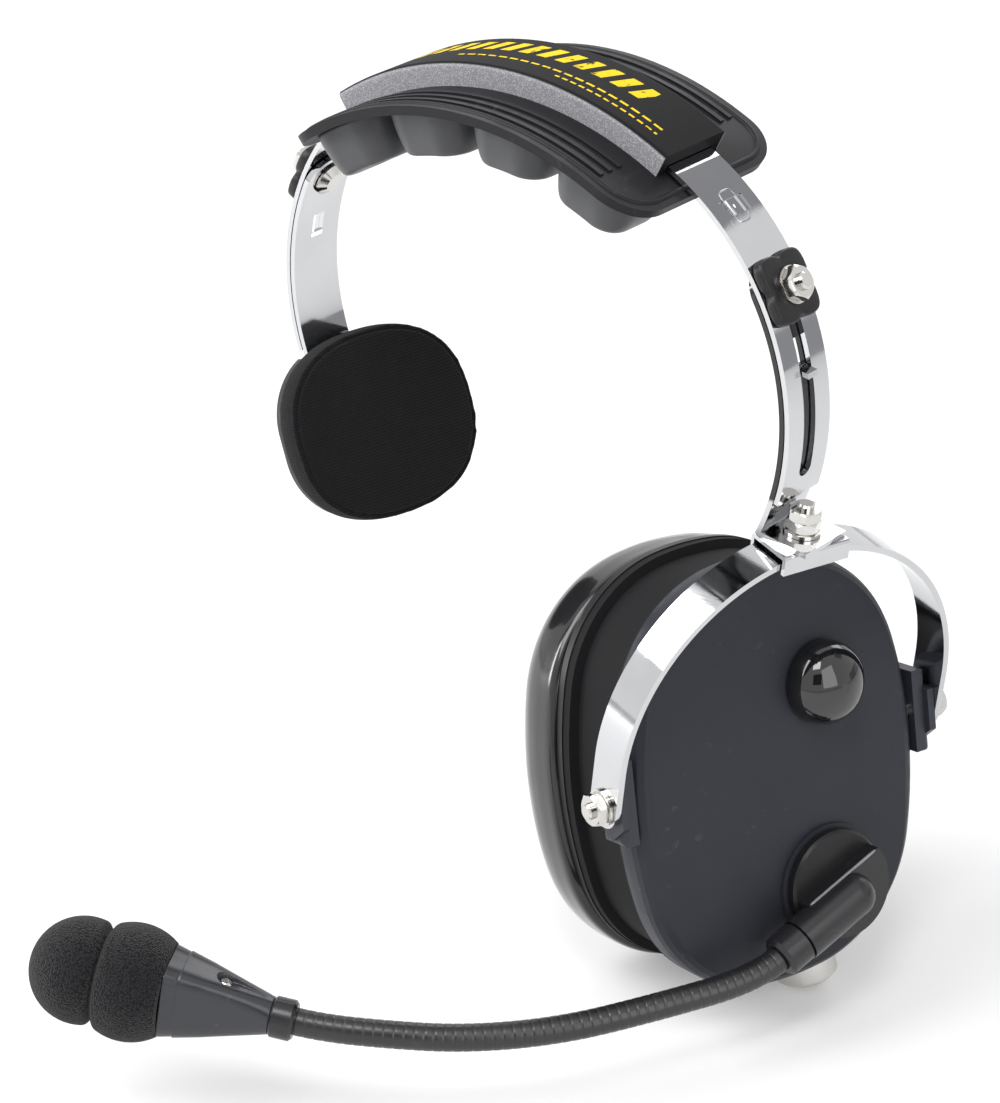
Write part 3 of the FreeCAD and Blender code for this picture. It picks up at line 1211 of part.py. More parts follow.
def microphone(place):
    """Collar, two-part housing, capsule and foam muff along the gooseneck's end."""
    collar = d.mic_collar_long
    seat = d.neck_seat
    outer = d.mic_collar_radius
    collar_low = -1.0
    collar_high = collar - 1.0
    turned("mic_collar", [
        (d.neck_radius, collar_low), (outer - 0.7, collar_low), (outer, collar_low + 0.7),
        (outer, collar_high - 0.6), (outer - 0.6, collar_high), (d.neck_bore, collar_high),
        (d.neck_bore, seat), (d.neck_radius, seat)], place)
    long = d.mic_long.value
    low = collar_high.value
    high = low + long
    half_high = d.mic_high.value / 2
    half_deep = d.mic_deep.value / 2
    neck = d.mic_neck.value / 2
    corner = 3.2
    sections = [(0.0, neck, neck, neck * 0.95), (0.18, neck + 0.3, neck + 0.3, neck * 0.8),
                (0.85, half_high * 0.96, half_deep * 0.98, corner), (1.0, half_high, half_deep, corner)]
    wires = [rounded_wire(tall, deep, turn, place * shifted(0, 0, low + share * long))
             for share, tall, deep, turn in sections]
    solid = Part.makeLoft(wires, True, True)
    nose_end = high + d.nose_long.value

    def local(shape):
        shape.Placement = place * shape.Placement
        return shape

    def bored(radius, deep, start, direction):
        return solid.cut(local(Part.makeCylinder(radius, deep, start, direction)))

    wire_radius = 1.6
    nose_seat = 8.0
    solid = bored(wire_radius, long + beyond, Vector(0, 0, low - 1), Z_AXIS)
    solid = bored(d.nose_radius.value, nose_seat + 1, Vector(0, 0, high - nose_seat), Z_AXIS)
    screw_share = 0.47
    screw_sink = 1.6
    thread_radius = 0.8
    thread_long = 5.0
    head_radius = 1.6
    screw_level = low + screw_share * long
    sunk = neck + (half_high - neck) * screw_share - screw_sink
    solid = bored(head_radius + d.slider_gap.value, screw_sink + 1, Vector(sunk, 0, screw_level), X_AXIS)
    solid = bored(thread_radius, thread_long + 1, Vector(sunk - thread_long, 0, screw_level), X_AXIS)
    split = 0.06
    near_half = block_between((-wide, split, low - beyond), (wide, wide, high + wide))
    far_half = block_between((-wide, -wide, low - beyond), (wide, -split, high + wide))
    feature("mic_housing_front", solid.common(local(near_half)), WORLD)
    feature("mic_housing_rear", solid.common(local(far_half)), WORLD)
    turned("mic_screw", [
        (0, -thread_long), (thread_radius, -thread_long), (thread_radius, 0), (head_radius, 0),
        (head_radius, 0.6), (1.0, 1.1), (0, 1.1)],
        place * shifted(sunk, 0, screw_level) * turned_about(Y_AXIS, 90))
    capsule_low = high - nose_seat + d.face_gap.value * 2
    ring("mic_capsule", 0, d.nose_radius - d.slider_gap, capsule_low, nose_end, place)
    muff = Part.makeSphere(d.muff_near_radius.value, Vector(0, 0, d.muff_near.value))
    muff = muff.fuse(Part.makeSphere(d.muff_far_radius.value, Vector(0, 0, d.muff_far.value)))
    nose = Part.makeCylinder(d.nose_radius.value - d.face_gap.value, nose_end + d.slider_gap.value,
                             Vector(), Z_AXIS)
    keep = block_between((-wide, -wide, high + d.face_gap.value * 2), (wide, wide, high + wide))
    feature("mic_muff", muff.cut(nose).common(keep), place)


def cord_socket():
    """Socket through the cup's lower wall, with its insert and inner nut."""
    flange = d.socket_flange
    bottom = flange - d.socket_deep
    floor = flange - d.socket_clear
    narrow = d.socket_bore - d.socket_step
    wall_in = -d.cup_wall - d.waist_deep - seat_sag(d.socket_radius * 2, d.cup_end_radius)
    turned("cord_socket", [
        (narrow, bottom), (d.socket_body, bottom), (d.socket_body, 0), (d.socket_radius, 0),
        (d.socket_radius, flange - 1.0), (d.socket_radius - 1.0, flange), (d.socket_bore, flange),
        (d.socket_bore, floor), (narrow, floor)], SOCKET)
    insert = new_body("socket_insert", SOCKET)
    contact_circle = 2.4
    contact_radius = 0.6
    holes = [polar(contact_circle, 90 * i) + (contact_radius,) for i in range(4)]
    disc = draw(insert, shifted(), circles=[(0, 0, narrow)] + holes)
    disc.setExpression("AttachmentOffset.Base.z", bottom.text)
    pad(insert, disc, floor - bottom - d.face_gap * 2)
    nut_high = 2.6
    ring("socket_nut", d.socket_body, d.socket_radius, wall_in - nut_high, wall_in, SOCKET)


# The head pad under the crown

def crown_frame(angle):
    return CROWN_PAD * turned_about(Y_AXIS, angle)


def head_base():
    """Curved plate under the band with round corners, a raised edge and ribs."""
    top = d.crown_radius - half_strip - d.pad_gap
    low = top - d.base_thick
    body = new_body("head_pad_base", CROWN_PAD)
    half = d.base_half_arc
    plate = sector(low, top, 90 - half, 90 + half)
    pad(body, draw(body, UPRIGHT, [plate]), d.base_wide, both_ways=True)
    soften(body, d.base_corner, lambda edge: edge.Curve.TypeId == "Part::GeomLine"
           and abs(edge.Length - d.base_thick.value) < 0.01)
    rib_end = 9
    rib_wide = 1.2
    rib_pitch = 3.0
    rib_inset = 4.5
    rib = sector(top - rib_wide / 2, top + d.rib_high, 90 - half + rib_end, 90 + half - rib_end)
    for i in range(3):
        start = d.base_wide.value / 2 - rib_inset - i * rib_pitch
        for way in (1, -1):
            place = shifted(0, way * start, 0) * UPRIGHT
            pad(body, draw(body, place, [rib]), rib_wide, both_ways=True)
    return body


def head_cushions():
    """Two rows of soft blocks, each narrower towards the head."""
    root = (d.crown_radius - half_strip - d.pad_gap - d.base_thick).value
    high = d.lump_high.value
    pitch = math.degrees(d.lump_pitch.value / root)
    buried = 1.2
    across = d.base_wide.value
    under = Part.makeCylinder(root - d.soft_gap.value, across, Vector(0, -across / 2, 0), Y_AXIS)
    under.Placement = CROWN_PAD
    sections = [(0.0, 1.0, 8.0), (0.25, 1.0, 8.0), (0.6, 0.94, 7.5), (0.88, 0.88, 6.5), (1.0, 0.78, 5.0)]
    for name, way in (("front", -1), ("rear", 1)):
        lumps = []
        for i in range(4):
            place = crown_frame((i - 1.5) * pitch) * shifted(0, way * d.lump_row.value, 0)
            wires = []
            for share, scale, corner in sections:
                level = place * shifted(0, 0, root + buried - share * (high + buried))
                wires.append(rounded_wire(d.lump_long.value * scale / 2, d.lump_wide.value * scale / 2,
                                          corner, level))
            lumps.append(Part.makeLoft(wires, True, False).common(under))
        feature("head_pad_cushions_" + name, Part.makeCompound(lumps), WORLD)


def crown_cover():
    """Channel over the band's crown."""
    low = d.crown_radius - half_strip - d.pad_gap + 0.02
    top = low + d.cover_high
    half = d.cover_long / 2 * (180 / math.pi) / (low + d.cover_high / 2)
    body = new_body("crown_cover", CROWN_PAD)
    pad(body, draw(body, UPRIGHT, [sector(low, top, 90 - half, 90 + half)]), d.cover_wide, both_ways=True)
    channel = sector(low - 1, d.crown_radius + half_strip + d.slider_gap, 88 - half, 92 + half)
    pocket(body, draw(body, UPRIGHT, [channel]), d.strip_width + d.clamp_side_gap * 2, both_ways=True)
    soften(body, d.cover_edge, lambda edge: edge.Curve.TypeId == "Part::GeomCircle"
           and abs(edge.Curve.Radius - top.value) < 0.01)
    return body


def temple_pad():
    """Plate, cushion and the two rivets on the temple-side slider."""
    face_turn = turned_about(Y_AXIS, -90) * turned_about(Z_AXIS, -d.temple_roll.value)
    centre = shifted(-half_strip.value, -d.temple_back.value, -d.temple_drop.value)
    inward = TEMPLE_TAIL * centre * face_turn
    half_x = d.temple_high.value / 2
    half_y = d.temple_wide.value / 2
    plate_thick = d.temple_plate.value
    plate_inset = 1.5
    plate_corner = 18.5
    notch_gap = 1.5
    plate = Part.Face(rounded_wire(half_x - plate_inset, half_y - plate_inset, plate_corner, inward))
    out = inward.Rotation.multVec(Z_AXIS)
    plate = plate.extrude(out * plate_thick)
    notch_half = d.strip_width.value / 2 + notch_gap
    notch = Part.makeBox(d.temple_wide.value, 2 * notch_half, d.temple_high.value,
                         Vector(-d.temple_wide.value / 2, -notch_half, -d.twist_long.value))
    notch.Placement = TEMPLE_TAIL
    plate = plate.cut(notch)
    rivets = []
    for drop_value in rivet_places:
        point = TEMPLE_TAIL * Vector(-half_strip.value, 0, -drop_value.value)
        hole = Part.makeCylinder(rivet_radius, plate_thick + 2, point - out, out)
        plate = plate.cut(hole)
        shank = Part.makeCylinder(rivet_radius, plate_thick + d.strip_thick.value,
                                  point - out * d.strip_thick.value, out)
        head = Part.makeCone(2.6, 1.6, 1.0, point - out * d.strip_thick.value, -out)
        rivets.append(shank.fuse(head).removeSplitter())
    feature("temple_pad_plate", plate, WORLD)
    feature("temple_pad_rivets", Part.makeCompound(rivets), WORLD)
    thick = d.temple_thick.value
    sections = [(0.0, 0.95, 0.82), (0.2, 1.0, 0.86), (0.55, 0.98, 0.86), (0.85, 0.92, 0.79), (1.0, 0.79, 0.69)]
    wires = []
    for share, scale, corner in sections:
        level = inward * shifted(0, 0, plate_thick + 0.1 + share * thick)
        wires.append(rounded_wire(half_x * scale, half_y * scale, half_x * corner, level))
    feature("temple_pad_cushion", Part.makeLoft(wires, True, False), WORLD)


headband()
cup_slider()
temple_slider()
clamp("cup", CUP_SIDE, d.cup_bolt_angle)
clamp("temple", TEMPLE_SIDE, d.temple_bolt_angle)
yoke()
yoke_bracket()
swivel_stack()
cup_shell()
pivot_screws()
baffle()
ear_seal()
speaker()
liner()
volume_control()
neck_start = boom()
mic_place = gooseneck(neck_start)
microphone(mic_place)
cord_socket()
head_base()
head_cushions()
crown_cover()
temple_pad()
doc.recompute()

os.makedirs("parts", exist_ok=True)
failed = [thing.Label for thing in doc.Objects if "Invalid" in thing.State or "Error" in thing.State]
kinds = ("PartDesign::Body", "Part::Feature", "Part::Compound")
pieces = [thing for thing in doc.Objects if thing.TypeId in kinds and thing not in grouped]
bad = [piece.Label for piece in pieces if piece.Shape.isNull() or not piece.Shape.isValid()]
if failed or bad:
    raise RuntimeError("failed objects %s, bad shapes %s" % (failed, bad))
for piece in pieces:
    piece.Shape.exportStep("parts/%s.step" % piece.Label)
print("%d pieces written" % len(pieces))
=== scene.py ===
import json
import math

import bmesh
import bpy
import numpy as np
from mathutils import Matrix, Vector


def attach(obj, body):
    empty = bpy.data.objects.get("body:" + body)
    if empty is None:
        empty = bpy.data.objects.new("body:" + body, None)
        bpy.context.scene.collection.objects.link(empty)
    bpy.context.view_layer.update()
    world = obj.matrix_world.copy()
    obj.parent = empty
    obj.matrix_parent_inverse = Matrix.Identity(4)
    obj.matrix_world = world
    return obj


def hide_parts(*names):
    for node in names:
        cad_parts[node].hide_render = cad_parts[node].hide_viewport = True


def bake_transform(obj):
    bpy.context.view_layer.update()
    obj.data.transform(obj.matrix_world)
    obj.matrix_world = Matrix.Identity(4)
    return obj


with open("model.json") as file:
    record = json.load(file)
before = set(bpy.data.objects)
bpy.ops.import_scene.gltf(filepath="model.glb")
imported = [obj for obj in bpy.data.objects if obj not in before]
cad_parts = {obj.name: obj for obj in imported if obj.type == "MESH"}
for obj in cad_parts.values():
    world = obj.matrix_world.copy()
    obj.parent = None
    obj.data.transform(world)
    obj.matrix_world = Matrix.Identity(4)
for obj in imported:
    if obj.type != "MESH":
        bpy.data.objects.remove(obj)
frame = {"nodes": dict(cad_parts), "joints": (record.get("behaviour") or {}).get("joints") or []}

nodes = frame["nodes"]
joints = {joint["name"]: joint for joint in frame["joints"]}
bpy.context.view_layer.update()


# Studio. The headset stands on a white table before a white wall, lit by a large softbox at the
# upper left, a small one above, a weak one at the right and strips behind and at the left. Dark and
# grey cards, seen only as reflections, draw the streaks in the plated steel.

floor_height, table_side, table_glow = -0.1990, 12.0, 0.24
wall_on_object, wall_in_sight = 0.55, 1.0
scene = bpy.context.scene
studio_centre = Vector((0.0, -0.02, -0.09))
camera_right = Vector((0.7611, 0.6481, -0.0261))
camera_up = Vector((-0.2711, 0.3544, 0.8949))
camera_back = Vector((0.5893, -0.6741, 0.4454))
camera_place = (0.4667, -0.5516, 0.2569)


def in_scene(name, data):
    """New object with its data, put into the scene."""
    thing = bpy.data.objects.new(name, data)
    scene.collection.objects.link(thing)
    return thing


def card(name, centre, across, up, wide, high):
    """Flat rectangle: centre plus shares of two edge directions."""
    across, up = Vector(across).normalized(), Vector(up).normalized()
    corners = [Vector(centre) + across * wide * sx / 2 + up * high * sy / 2
               for sx, sy in ((-1, -1), (1, -1), (1, 1), (-1, 1))]
    mesh = bpy.data.meshes.new(name)
    mesh.from_pydata([tuple(c) for c in corners], [], [(0, 1, 2, 3)])
    return in_scene(name, mesh)


def softbox(name, place, wide, high, power):
    """Rectangular lamp that faces the middle of the headset."""
    data = bpy.data.lights.new(name, "AREA")
    data.shape, data.size, data.size_y, data.energy = "RECTANGLE", wide, high, power
    lamp = in_scene(name, data)
    lamp.location = place
    lamp.rotation_euler = (studio_centre - Vector(place)).to_track_quat("-Z", "Y").to_euler()


def fill(socket, value):
    """Gives a socket the output of another node, a number or a colour."""
    if isinstance(value, bpy.types.NodeSocket):
        socket.id_data.links.new(value, socket)
    elif value is not None:
        socket.default_value = value


def dress(node, **inputs):
    """Fills a node's inputs by their names, with _ for a space, and gives the node back."""
    for name, value in inputs.items():
        fill(node.inputs[name.replace("_", " ")], value)
    return node


def added(tree, kind, **settings):
    """New shader node with its settings."""
    node = tree.nodes.new("ShaderNode" + kind)
    for name, value in settings.items():
        setattr(node, name, value)
    return node


def maths(tree, kind, first, second=None, node_kind="Math", output=0):
    """One sum, product or comparison of values or numbers."""
    node = added(tree, node_kind, operation=kind)
    fill(node.inputs[0], first)
    fill(node.inputs[1], second)
    return node.outputs[output]


def times(tree, first, second):
    """Product of two values or numbers."""
    return maths(tree, "MULTIPLY", first, second)


def remap(tree, value, low, high, to_low=0.0, to_high=1.0, smooth=False):
    """A value's range carried to another range, clamped."""
    node = added(tree, "MapRange", interpolation_type="SMOOTHSTEP" if smooth else "LINEAR")
    dress(node, Value=value, From_Min=low, From_Max=high, To_Min=to_low, To_Max=to_high)
    return node.outputs["Result"]


def white_for_sight(tree):
    """One for rays from the camera, from gloss and through glass, nought for diffuse light."""
    rays = added(tree, "LightPath").outputs
    glossy_or_glass = maths(tree, "MAXIMUM", rays["Is Glossy Ray"], rays["Is Transmission Ray"])
    return maths(tree, "MAXIMUM", rays["Is Camera Ray"], glossy_or_glass)


table_top = card("table_top", (0, 0, floor_height), (1, 0, 0), (0, 1, 0), table_side, table_side)
table_paint = bpy.data.materials.new("white table")
table_paint.use_nodes = True
tree = table_paint.node_tree
tree.nodes.clear()
matt_white = dress(added(tree, "BsdfDiffuse"), Color=(0.88, 0.88, 0.88, 1))
white_glow = dress(added(tree, "Emission"), Color=(1, 1, 1, 1))
glow_share = times(tree, white_for_sight(tree), table_glow)
blend_white = added(tree, "MixShader")
for socket, source in zip(blend_white.inputs, (glow_share, matt_white.outputs[0], white_glow.outputs[0])):
    fill(socket, source)
dress(added(tree, "OutputMaterial"), Surface=blend_white.outputs[0])
table_top.data.materials.append(table_paint)

for name, centre, across, up, wide, high, level in (
        ("card_camera", studio_centre + camera_back * 2.0, camera_right, camera_up, 0.9, 0.9, 0.02),
        ("card_right", (0.95, 0.90, -0.05), (0.69, -0.72, 0), (0, 0, 1), 0.35, 0.26, 0.38),
        ("card_left", (-1.20, -0.45, 0.50), (-0.35, 0.94, 0), (0.3, 0, 0.95), 0.25, 0.6, 0.02),
        ("card_above", (0.392, 0.803, 0.797), (0.90, -0.44, 0), (-0.28, -0.57, 0.77), 0.75, 0.36, 0.38),
        ("card_behind", (0.95, 1.10, -0.02), (0.76, -0.65, 0), (0, 0, 1), 0.9, 0.28, 0.55)):
    thing = card(name, centre, across, up, wide, high)
    paint = bpy.data.materials.new("paint of " + name)
    paint.use_nodes = True
    dress(paint.node_tree.nodes["Principled BSDF"], Base_Color=(0, 0, 0, 1), Specular_IOR_Level=0,
          Emission_Color=(level, level, level * 1.03, 1), Emission_Strength=1.0)
    thing.data.materials.append(paint)
    thing.visible_camera = thing.visible_diffuse = thing.visible_shadow = False

softbox("key softbox", (-0.78, -0.80, 1.00), 1.1, 1.1, 21)
softbox("top window", (0.36, -0.51, 1.05), 0.45, 0.45, 5)
softbox("fill softbox", (1.30, -0.35, 0.55), 0.8, 1.2, 6)
softbox("back strip", (-0.35, 1.15, 0.80), 1.4, 0.5, 5)
softbox("left strip", (-1.10, -0.55, 0.02), 0.16, 0.7, 4.5)

world = bpy.data.worlds.new("white wall")
scene.world = world
world.use_nodes = True
tree = world.node_tree
tree.nodes.clear()
wall_level = remap(tree, white_for_sight(tree), 0.0, 1.0, wall_on_object, wall_in_sight)
wall_light = dress(added(tree, "Background"), Color=(1, 1, 1, 1), Strength=wall_level)
dress(added(tree, "OutputWorld"), Surface=wall_light.outputs[0])

camera_data = bpy.data.cameras.new("camera")
camera_data.sensor_fit, camera_data.sensor_height, camera_data.lens = "VERTICAL", 36.0, 111.42
camera = in_scene("camera", camera_data)
camera_axes = Matrix((camera_right, camera_up, camera_back)).transposed()
camera.matrix_world = Matrix.Translation(camera_place) @ camera_axes.to_4x4()
scene.camera = camera
scene.view_settings.view_transform = "Standard"


# Spring band, sliders and yoke. Spring-steel strips, polished and plated bright, with faint
# lengthwise polishing lines and a little grey haze where fingers adjust them. The ear-side slider
# is painted near black, as shade, along the stretch that runs inside the band.

def effect(name, output, *vectors, **numbers):
    """Shader group with one value out: the group, what it is given and the node it ends in."""
    group = bpy.data.node_groups.new(name, "ShaderNodeTree")
    for label in vectors:
        group.interface.new_socket(name=label, in_out="INPUT", socket_type="NodeSocketVector")
    for label, value in numbers.items():
        socket = group.interface.new_socket(name=label, in_out="INPUT", socket_type="NodeSocketFloat")
        socket.default_value = value
    group.interface.new_socket(name=output, in_out="OUTPUT", socket_type="NodeSocketFloat")
    return group, group.nodes.new("NodeGroupInput").outputs, group.nodes.new("NodeGroupOutput")


def noise(tree, vector, scale, detail=3.0, rough=0.6):
    """Noise whose scale is a number or an output of another node."""
    node = dress(added(tree, "TexNoise"), Vector=vector, Scale=scale, Detail=detail, Roughness=rough)
    return node.outputs["Fac"]


def vector_maths(tree, kind, first, second=None, output="Vector"):
    """One product, difference, dot product or length of vectors."""
    return maths(tree, kind, first, second, "VectorMath", output)


def along(tree, place, axis, start=(0, 0, 0)):
    """Distance along a direction from a point: the dot product of both less the start's own."""
    dot = vector_maths(tree, "DOT_PRODUCT", place, tuple(axis), "Value")
    return maths(tree, "SUBTRACT", dot, float(np.dot(axis, start)))


haze, given, made = effect("handling haze", "Roughness", "Position", Size=60.0, Clean=0.1, Worn=0.3)
cloud = noise(haze, given["Position"], given["Size"], 4.0, 0.6)
dress(made, Roughness=remap(haze, cloud, 0.38, 0.68, given["Clean"], given["Worn"], True))

scratches, given, made = effect("hairline scratches", "Height", "Position", "Stretch")
drawn_out = vector_maths(scratches, "MULTIPLY", given["Position"], given["Stretch"])
dress(made, Height=noise(scratches, drawn_out, 1.0, 3.0, 0.7))


def placed(tree, group, **inputs):
    """What a group puts out in a material, with its inputs linked or set."""
    return dress(added(tree, "Group", node_tree=group), **inputs).outputs[0]


def new_material(name):
    """Material with its tree, its main shader and Object coordinates."""
    material = bpy.data.materials.new(name)
    material.use_nodes = True
    tree = material.node_tree
    return material, tree, tree.nodes["Principled BSDF"], added(tree, "TexCoord").outputs["Object"]


def bump(shader, height, depth, distance=0.0001, below=None):
    """Bump that feeds the shader's normal, over another one if given."""
    node = added(shader.id_data, "Bump")
    dress(node, Strength=depth, Distance=distance, Height=height, Normal=below)
    dress(shader, Normal=node.outputs["Normal"])
    return node.outputs["Normal"]


def mix_colour(tree, mask, first, second):
    """Colour that goes from one to the other with a mask."""
    first, second = ((*c, 1) if isinstance(c, tuple) else c for c in (first, second))
    return dress(added(tree, "Mix", data_type="RGBA"), Factor=mask, A=first, B=second).outputs["Result"]


def plated(name, colour, clean, worn, stretch, depth, distance=0.00002):
    """Bright plating: handling haze in the roughness and hairlines in the bump."""
    material, tree, shader, place = new_material(name)
    tone = remap(tree, noise(tree, place, 35.0), 0.35, 0.65)
    dress(shader, Metallic=1.0, Base_Color=mix_colour(tree, tone, colour, tuple(c * 0.94 for c in colour)),
          Roughness=placed(tree, haze, Position=place, Size=45.0, Clean=clean, Worn=worn))
    bump(shader, placed(tree, scratches, Position=place, Stretch=stretch), depth, distance)
    return material


def reopened(material):
    """A finished material's tree, main shader, Object coordinates and base colour so far."""
    tree = material.node_tree
    shader = tree.nodes["Principled BSDF"]
    place = next(node for node in tree.nodes if node.type == "TEX_COORD").outputs["Object"]
    return tree, shader, place, shader.inputs["Base Color"].links[0].from_socket


def wears(material, *names):
    """Gives CAD pieces a material."""
    for name in names:
        for slot in nodes[name].material_slots:
            slot.material = material


chrome_tone, along_strip = (0.60, 0.605, 0.62), (60, 2600, 60)
chrome = plated("bright chrome", chrome_tone, 0.035, 0.10, along_strip, 0.25)
wears(chrome, "headband_spring", "temple_slider", "yoke", "yoke_bracket")

# The slider is painted near black as shade above its foot, inside the arc of the band's inner face.
slider_with_painted_shade = plated("slider painted dark as shade in band", chrome_tone, 0.035, 0.10, along_strip, 0.25)
tree, shader, place, plate_tone = reopened(slider_with_painted_shade)
high_up = remap(tree, along(tree, place, (0, 0, 1)), -0.0668, -0.0660)
from_centre = vector_maths(tree, "SUBTRACT", place, tuple(joints["ear_slide"]["pos_m"]))
in_plane = vector_maths(tree, "MULTIPLY", from_centre, (1, 0, 1))
inside_band = remap(tree, vector_maths(tree, "LENGTH", in_plane, None, "Value"), 0.0592, 0.0594, 1.0, 0.0)
# Painted shade: inside the band the slider turns near black and not metallic.
bright = maths(tree, "SUBTRACT", 1.0, times(tree, high_up, inside_band))
dress(shader, Metallic=bright, Base_Color=mix_colour(tree, bright, (0.012, 0.012, 0.013), plate_tone))
wears(slider_with_painted_shade, "cup_slider")


# Screws, nuts and washers. Turned and pressed steel, nickel plated: a little warmer and duller
# than the band, with fine marks from the lathe.

nickel = plated("bright nickel", (0.62, 0.605, 0.58), 0.10, 0.20, (4000,) * 3, 0.3, 0.000003)
wears(nickel, "cup_slider_bolt", "cup_clamp_washer", "cup_clamp_nut", "temple_slider_bolt",
      "temple_clamp_washer", "temple_clamp_nut", "swivel_screw", "swivel_washer", "swivel_nut",
      "swivel_lock_nut", "pivot_screws", "pivot_washers", "pivot_nuts", "collar_screw", "mic_screw",
      "volume_nut", "boom_nut", "boom_washer", "cord_socket", "socket_nut", "temple_pad_rivets",
      "volume_shaft")


# Moulded black plastic. Nylon and ABS parts straight from the mould: near-black, satin, with a
# fine grain, a few pale scuffs and some dust.

scuffs, given, made = effect("pale scuffs", "Mask", "Position", Size=500.0, Rare=0.62)
streaks = vector_maths(scuffs, "MULTIPLY", given["Position"], (1.0, 0.25, 0.6))
marks = noise(scuffs, streaks, given["Size"])
scuff_edge = remap(scuffs, marks, given["Rare"], maths(scuffs, "ADD", given["Rare"], 0.08))
patches = remap(scuffs, noise(scuffs, given["Position"], 60.0, 2.0, 0.5), 0.50, 0.65)
dress(made, Mask=times(scuffs, scuff_edge, patches))

grain, given, made = effect("moulded grain", "Height", "Position", Size=2600.0)
dress(made, Height=noise(grain, given["Position"], given["Size"], 2.0, 0.6))


def moulded(name, colour, scuffed, smooth, dull, size, depth, mottle=0.12, gloss=0.3):
    """Moulded plastic: mottled colour, pale scuffs, grain bump and uneven gloss."""
    material, tree, shader, place = new_material(name)
    deep = tuple(c * (1 - mottle) for c in colour)
    pale = tuple(c * (1 + mottle) for c in colour)
    body = mix_colour(tree, noise(tree, place, 90.0), deep, pale)
    marks = placed(tree, scuffs, Position=place)
    dress(shader, Specular_IOR_Level=gloss, Base_Color=mix_colour(tree, marks, body, scuffed),
          Roughness=placed(tree, haze, Position=place, Size=70.0, Clean=smooth, Worn=dull))
    bump(shader, placed(tree, grain, Position=place, Size=size), depth, 0.00005)
    return material


black_plastic = moulded("satin black plastic", (0.011, 0.011, 0.012), (0.030, 0.030, 0.033), 0.32, 0.44,
                        2400.0, 0.25)
wears(black_plastic, "baffle_plate", "boom_turntable", "boom_stem", "temple_pad_plate", "volume_control",
      "speaker_frame", "mic_capsule")
satin_arm = moulded("satin black arm", (0.012, 0.012, 0.014), (0.030, 0.030, 0.033), 0.24, 0.32,
                    2600.0, 0.12, gloss=0.5)
wears(satin_arm, "boom_arm", "boom_collar", "mic_collar")


# Clamp blocks. A moulded plate with a notch in the middle of each side, bored for the clamp bolt
# and hollowed underneath to sit on the band.

def skin(name, grid, place, ring=False):
    """Mesh of a grid of points, rows by steps around, in a frame's millimetres."""
    rows, steps = grid.shape[:2]
    origin, x, y, z = (np.array(v, float) for v in place)
    points = (origin + grid[..., :1] * x + grid[..., 1:2] * y + grid[..., 2:3] * z).reshape(-1, 3) / 1000
    index = np.arange(rows * steps).reshape(rows, steps)
    if ring:
        index = np.vstack([index, index[:1]])
    near, far = index[:-1], index[1:]
    quads = np.stack([near, np.roll(near, -1, 1), np.roll(far, -1, 1), far], axis=-1).reshape(-1, 4)
    faces = quads.tolist()
    if not ring:
        faces += [index[0][::-1].tolist(), index[-1].tolist()]
    mesh = bpy.data.meshes.new(name)
    mesh.from_pydata(points.tolist(), [], faces)
    shape = bmesh.new()
    shape.from_mesh(mesh)
    bmesh.ops.recalc_face_normals(shape, faces=shape.faces)
    shape.to_mesh(mesh)
    shape.free()
    mesh.shade_smooth()
    return in_scene(name, mesh)


def settle(thing, material, body, slot, *replaced):
    """Dresses a new piece, puts it on its body and hides what it stands for."""
    thing.data.materials.append(material)
    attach(thing, body)
    if replaced:
        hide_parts(*replaced)
    return thing


def grid_of(*columns):
    """Grid of points from three columns of coordinates that spread over its rows and steps."""
    return np.stack(np.broadcast_arrays(*columns), axis=2)


def full_turn(count):
    """Even angles once round."""
    return np.linspace(0, 2 * math.pi, count, endpoint=False)


def squarish(turn, half_long, half_wide, power):
    """Reach of a superellipse at each angle: an oval at power 2, near a rectangle at more."""
    across, upward = np.abs(np.cos(turn) / half_long), np.abs(np.sin(turn) / half_wide)
    return (across ** power + upward ** power) ** (-1 / power)


def on_band(joint, angle):
    """Frame on the band's outer face at an angle over its side arc's centre, outward last."""
    centre = np.array(joints[joint]["pos_m"]) * 1000
    way, lean = math.copysign(1, centre[0]), math.radians(angle)
    outward = np.array((way * math.cos(lean), 0, math.sin(lean)))
    upward = np.array((-way * math.sin(lean), 0, math.cos(lean)))
    return centre + outward * band_outside, upward, np.cross(outward, upward), outward


# The plate is a superellipse with a bell-shaped notch at each side, carried up a bevelled edge. Its
# underside follows the band: it drops by the long way squared over twice the band's radius.
band_outside, clamp_gap, clamp_top, bolt_bore = 60.6, 0.12, 2.6, 2.0
notch_deep, notch_angle = 0.95, 0.20
clamp_turn = full_turn(240)
from_side = (clamp_turn + math.pi / 4) % (math.pi / 2) - math.pi / 4
clamp_edge = squarish(clamp_turn, 7.65, 7.4, 5.0) - notch_deep * np.exp(-(from_side / notch_angle) ** 2)
clamp_steps = np.array([(0.0, 0.0), (0.55, 0.0), (0.97, 0.0), (1.0, 0.10), (1.0, 0.45), (1.0, 0.78),
                        (0.985, 0.90), (0.95, 0.97), (0.90, 1.0), (0.5, 1.0), (0.0, 1.0)])
clamp_reach = bolt_bore + (clamp_edge[None] - bolt_bore) * clamp_steps[:, :1]
clamp_long_way = clamp_reach * np.cos(clamp_turn)
clamp_sag = clamp_long_way ** 2 / (2 * band_outside)
clamp_rise = clamp_gap - clamp_sag + (clamp_top - clamp_gap + clamp_sag) * clamp_steps[:, 1:]
clamp_grid = grid_of(clamp_long_way, clamp_reach * np.sin(clamp_turn), clamp_rise)
for node, joint, angle in (("cup_clamp_block", "ear_slide", 29.0),
                           ("temple_clamp_block", "temple_slide", 26.0)):
    settle(skin(node + "_notched", clamp_grid, on_band(joint, angle), ring=True), black_plastic,
           joints[joint]["child"], "black_plastic", node)


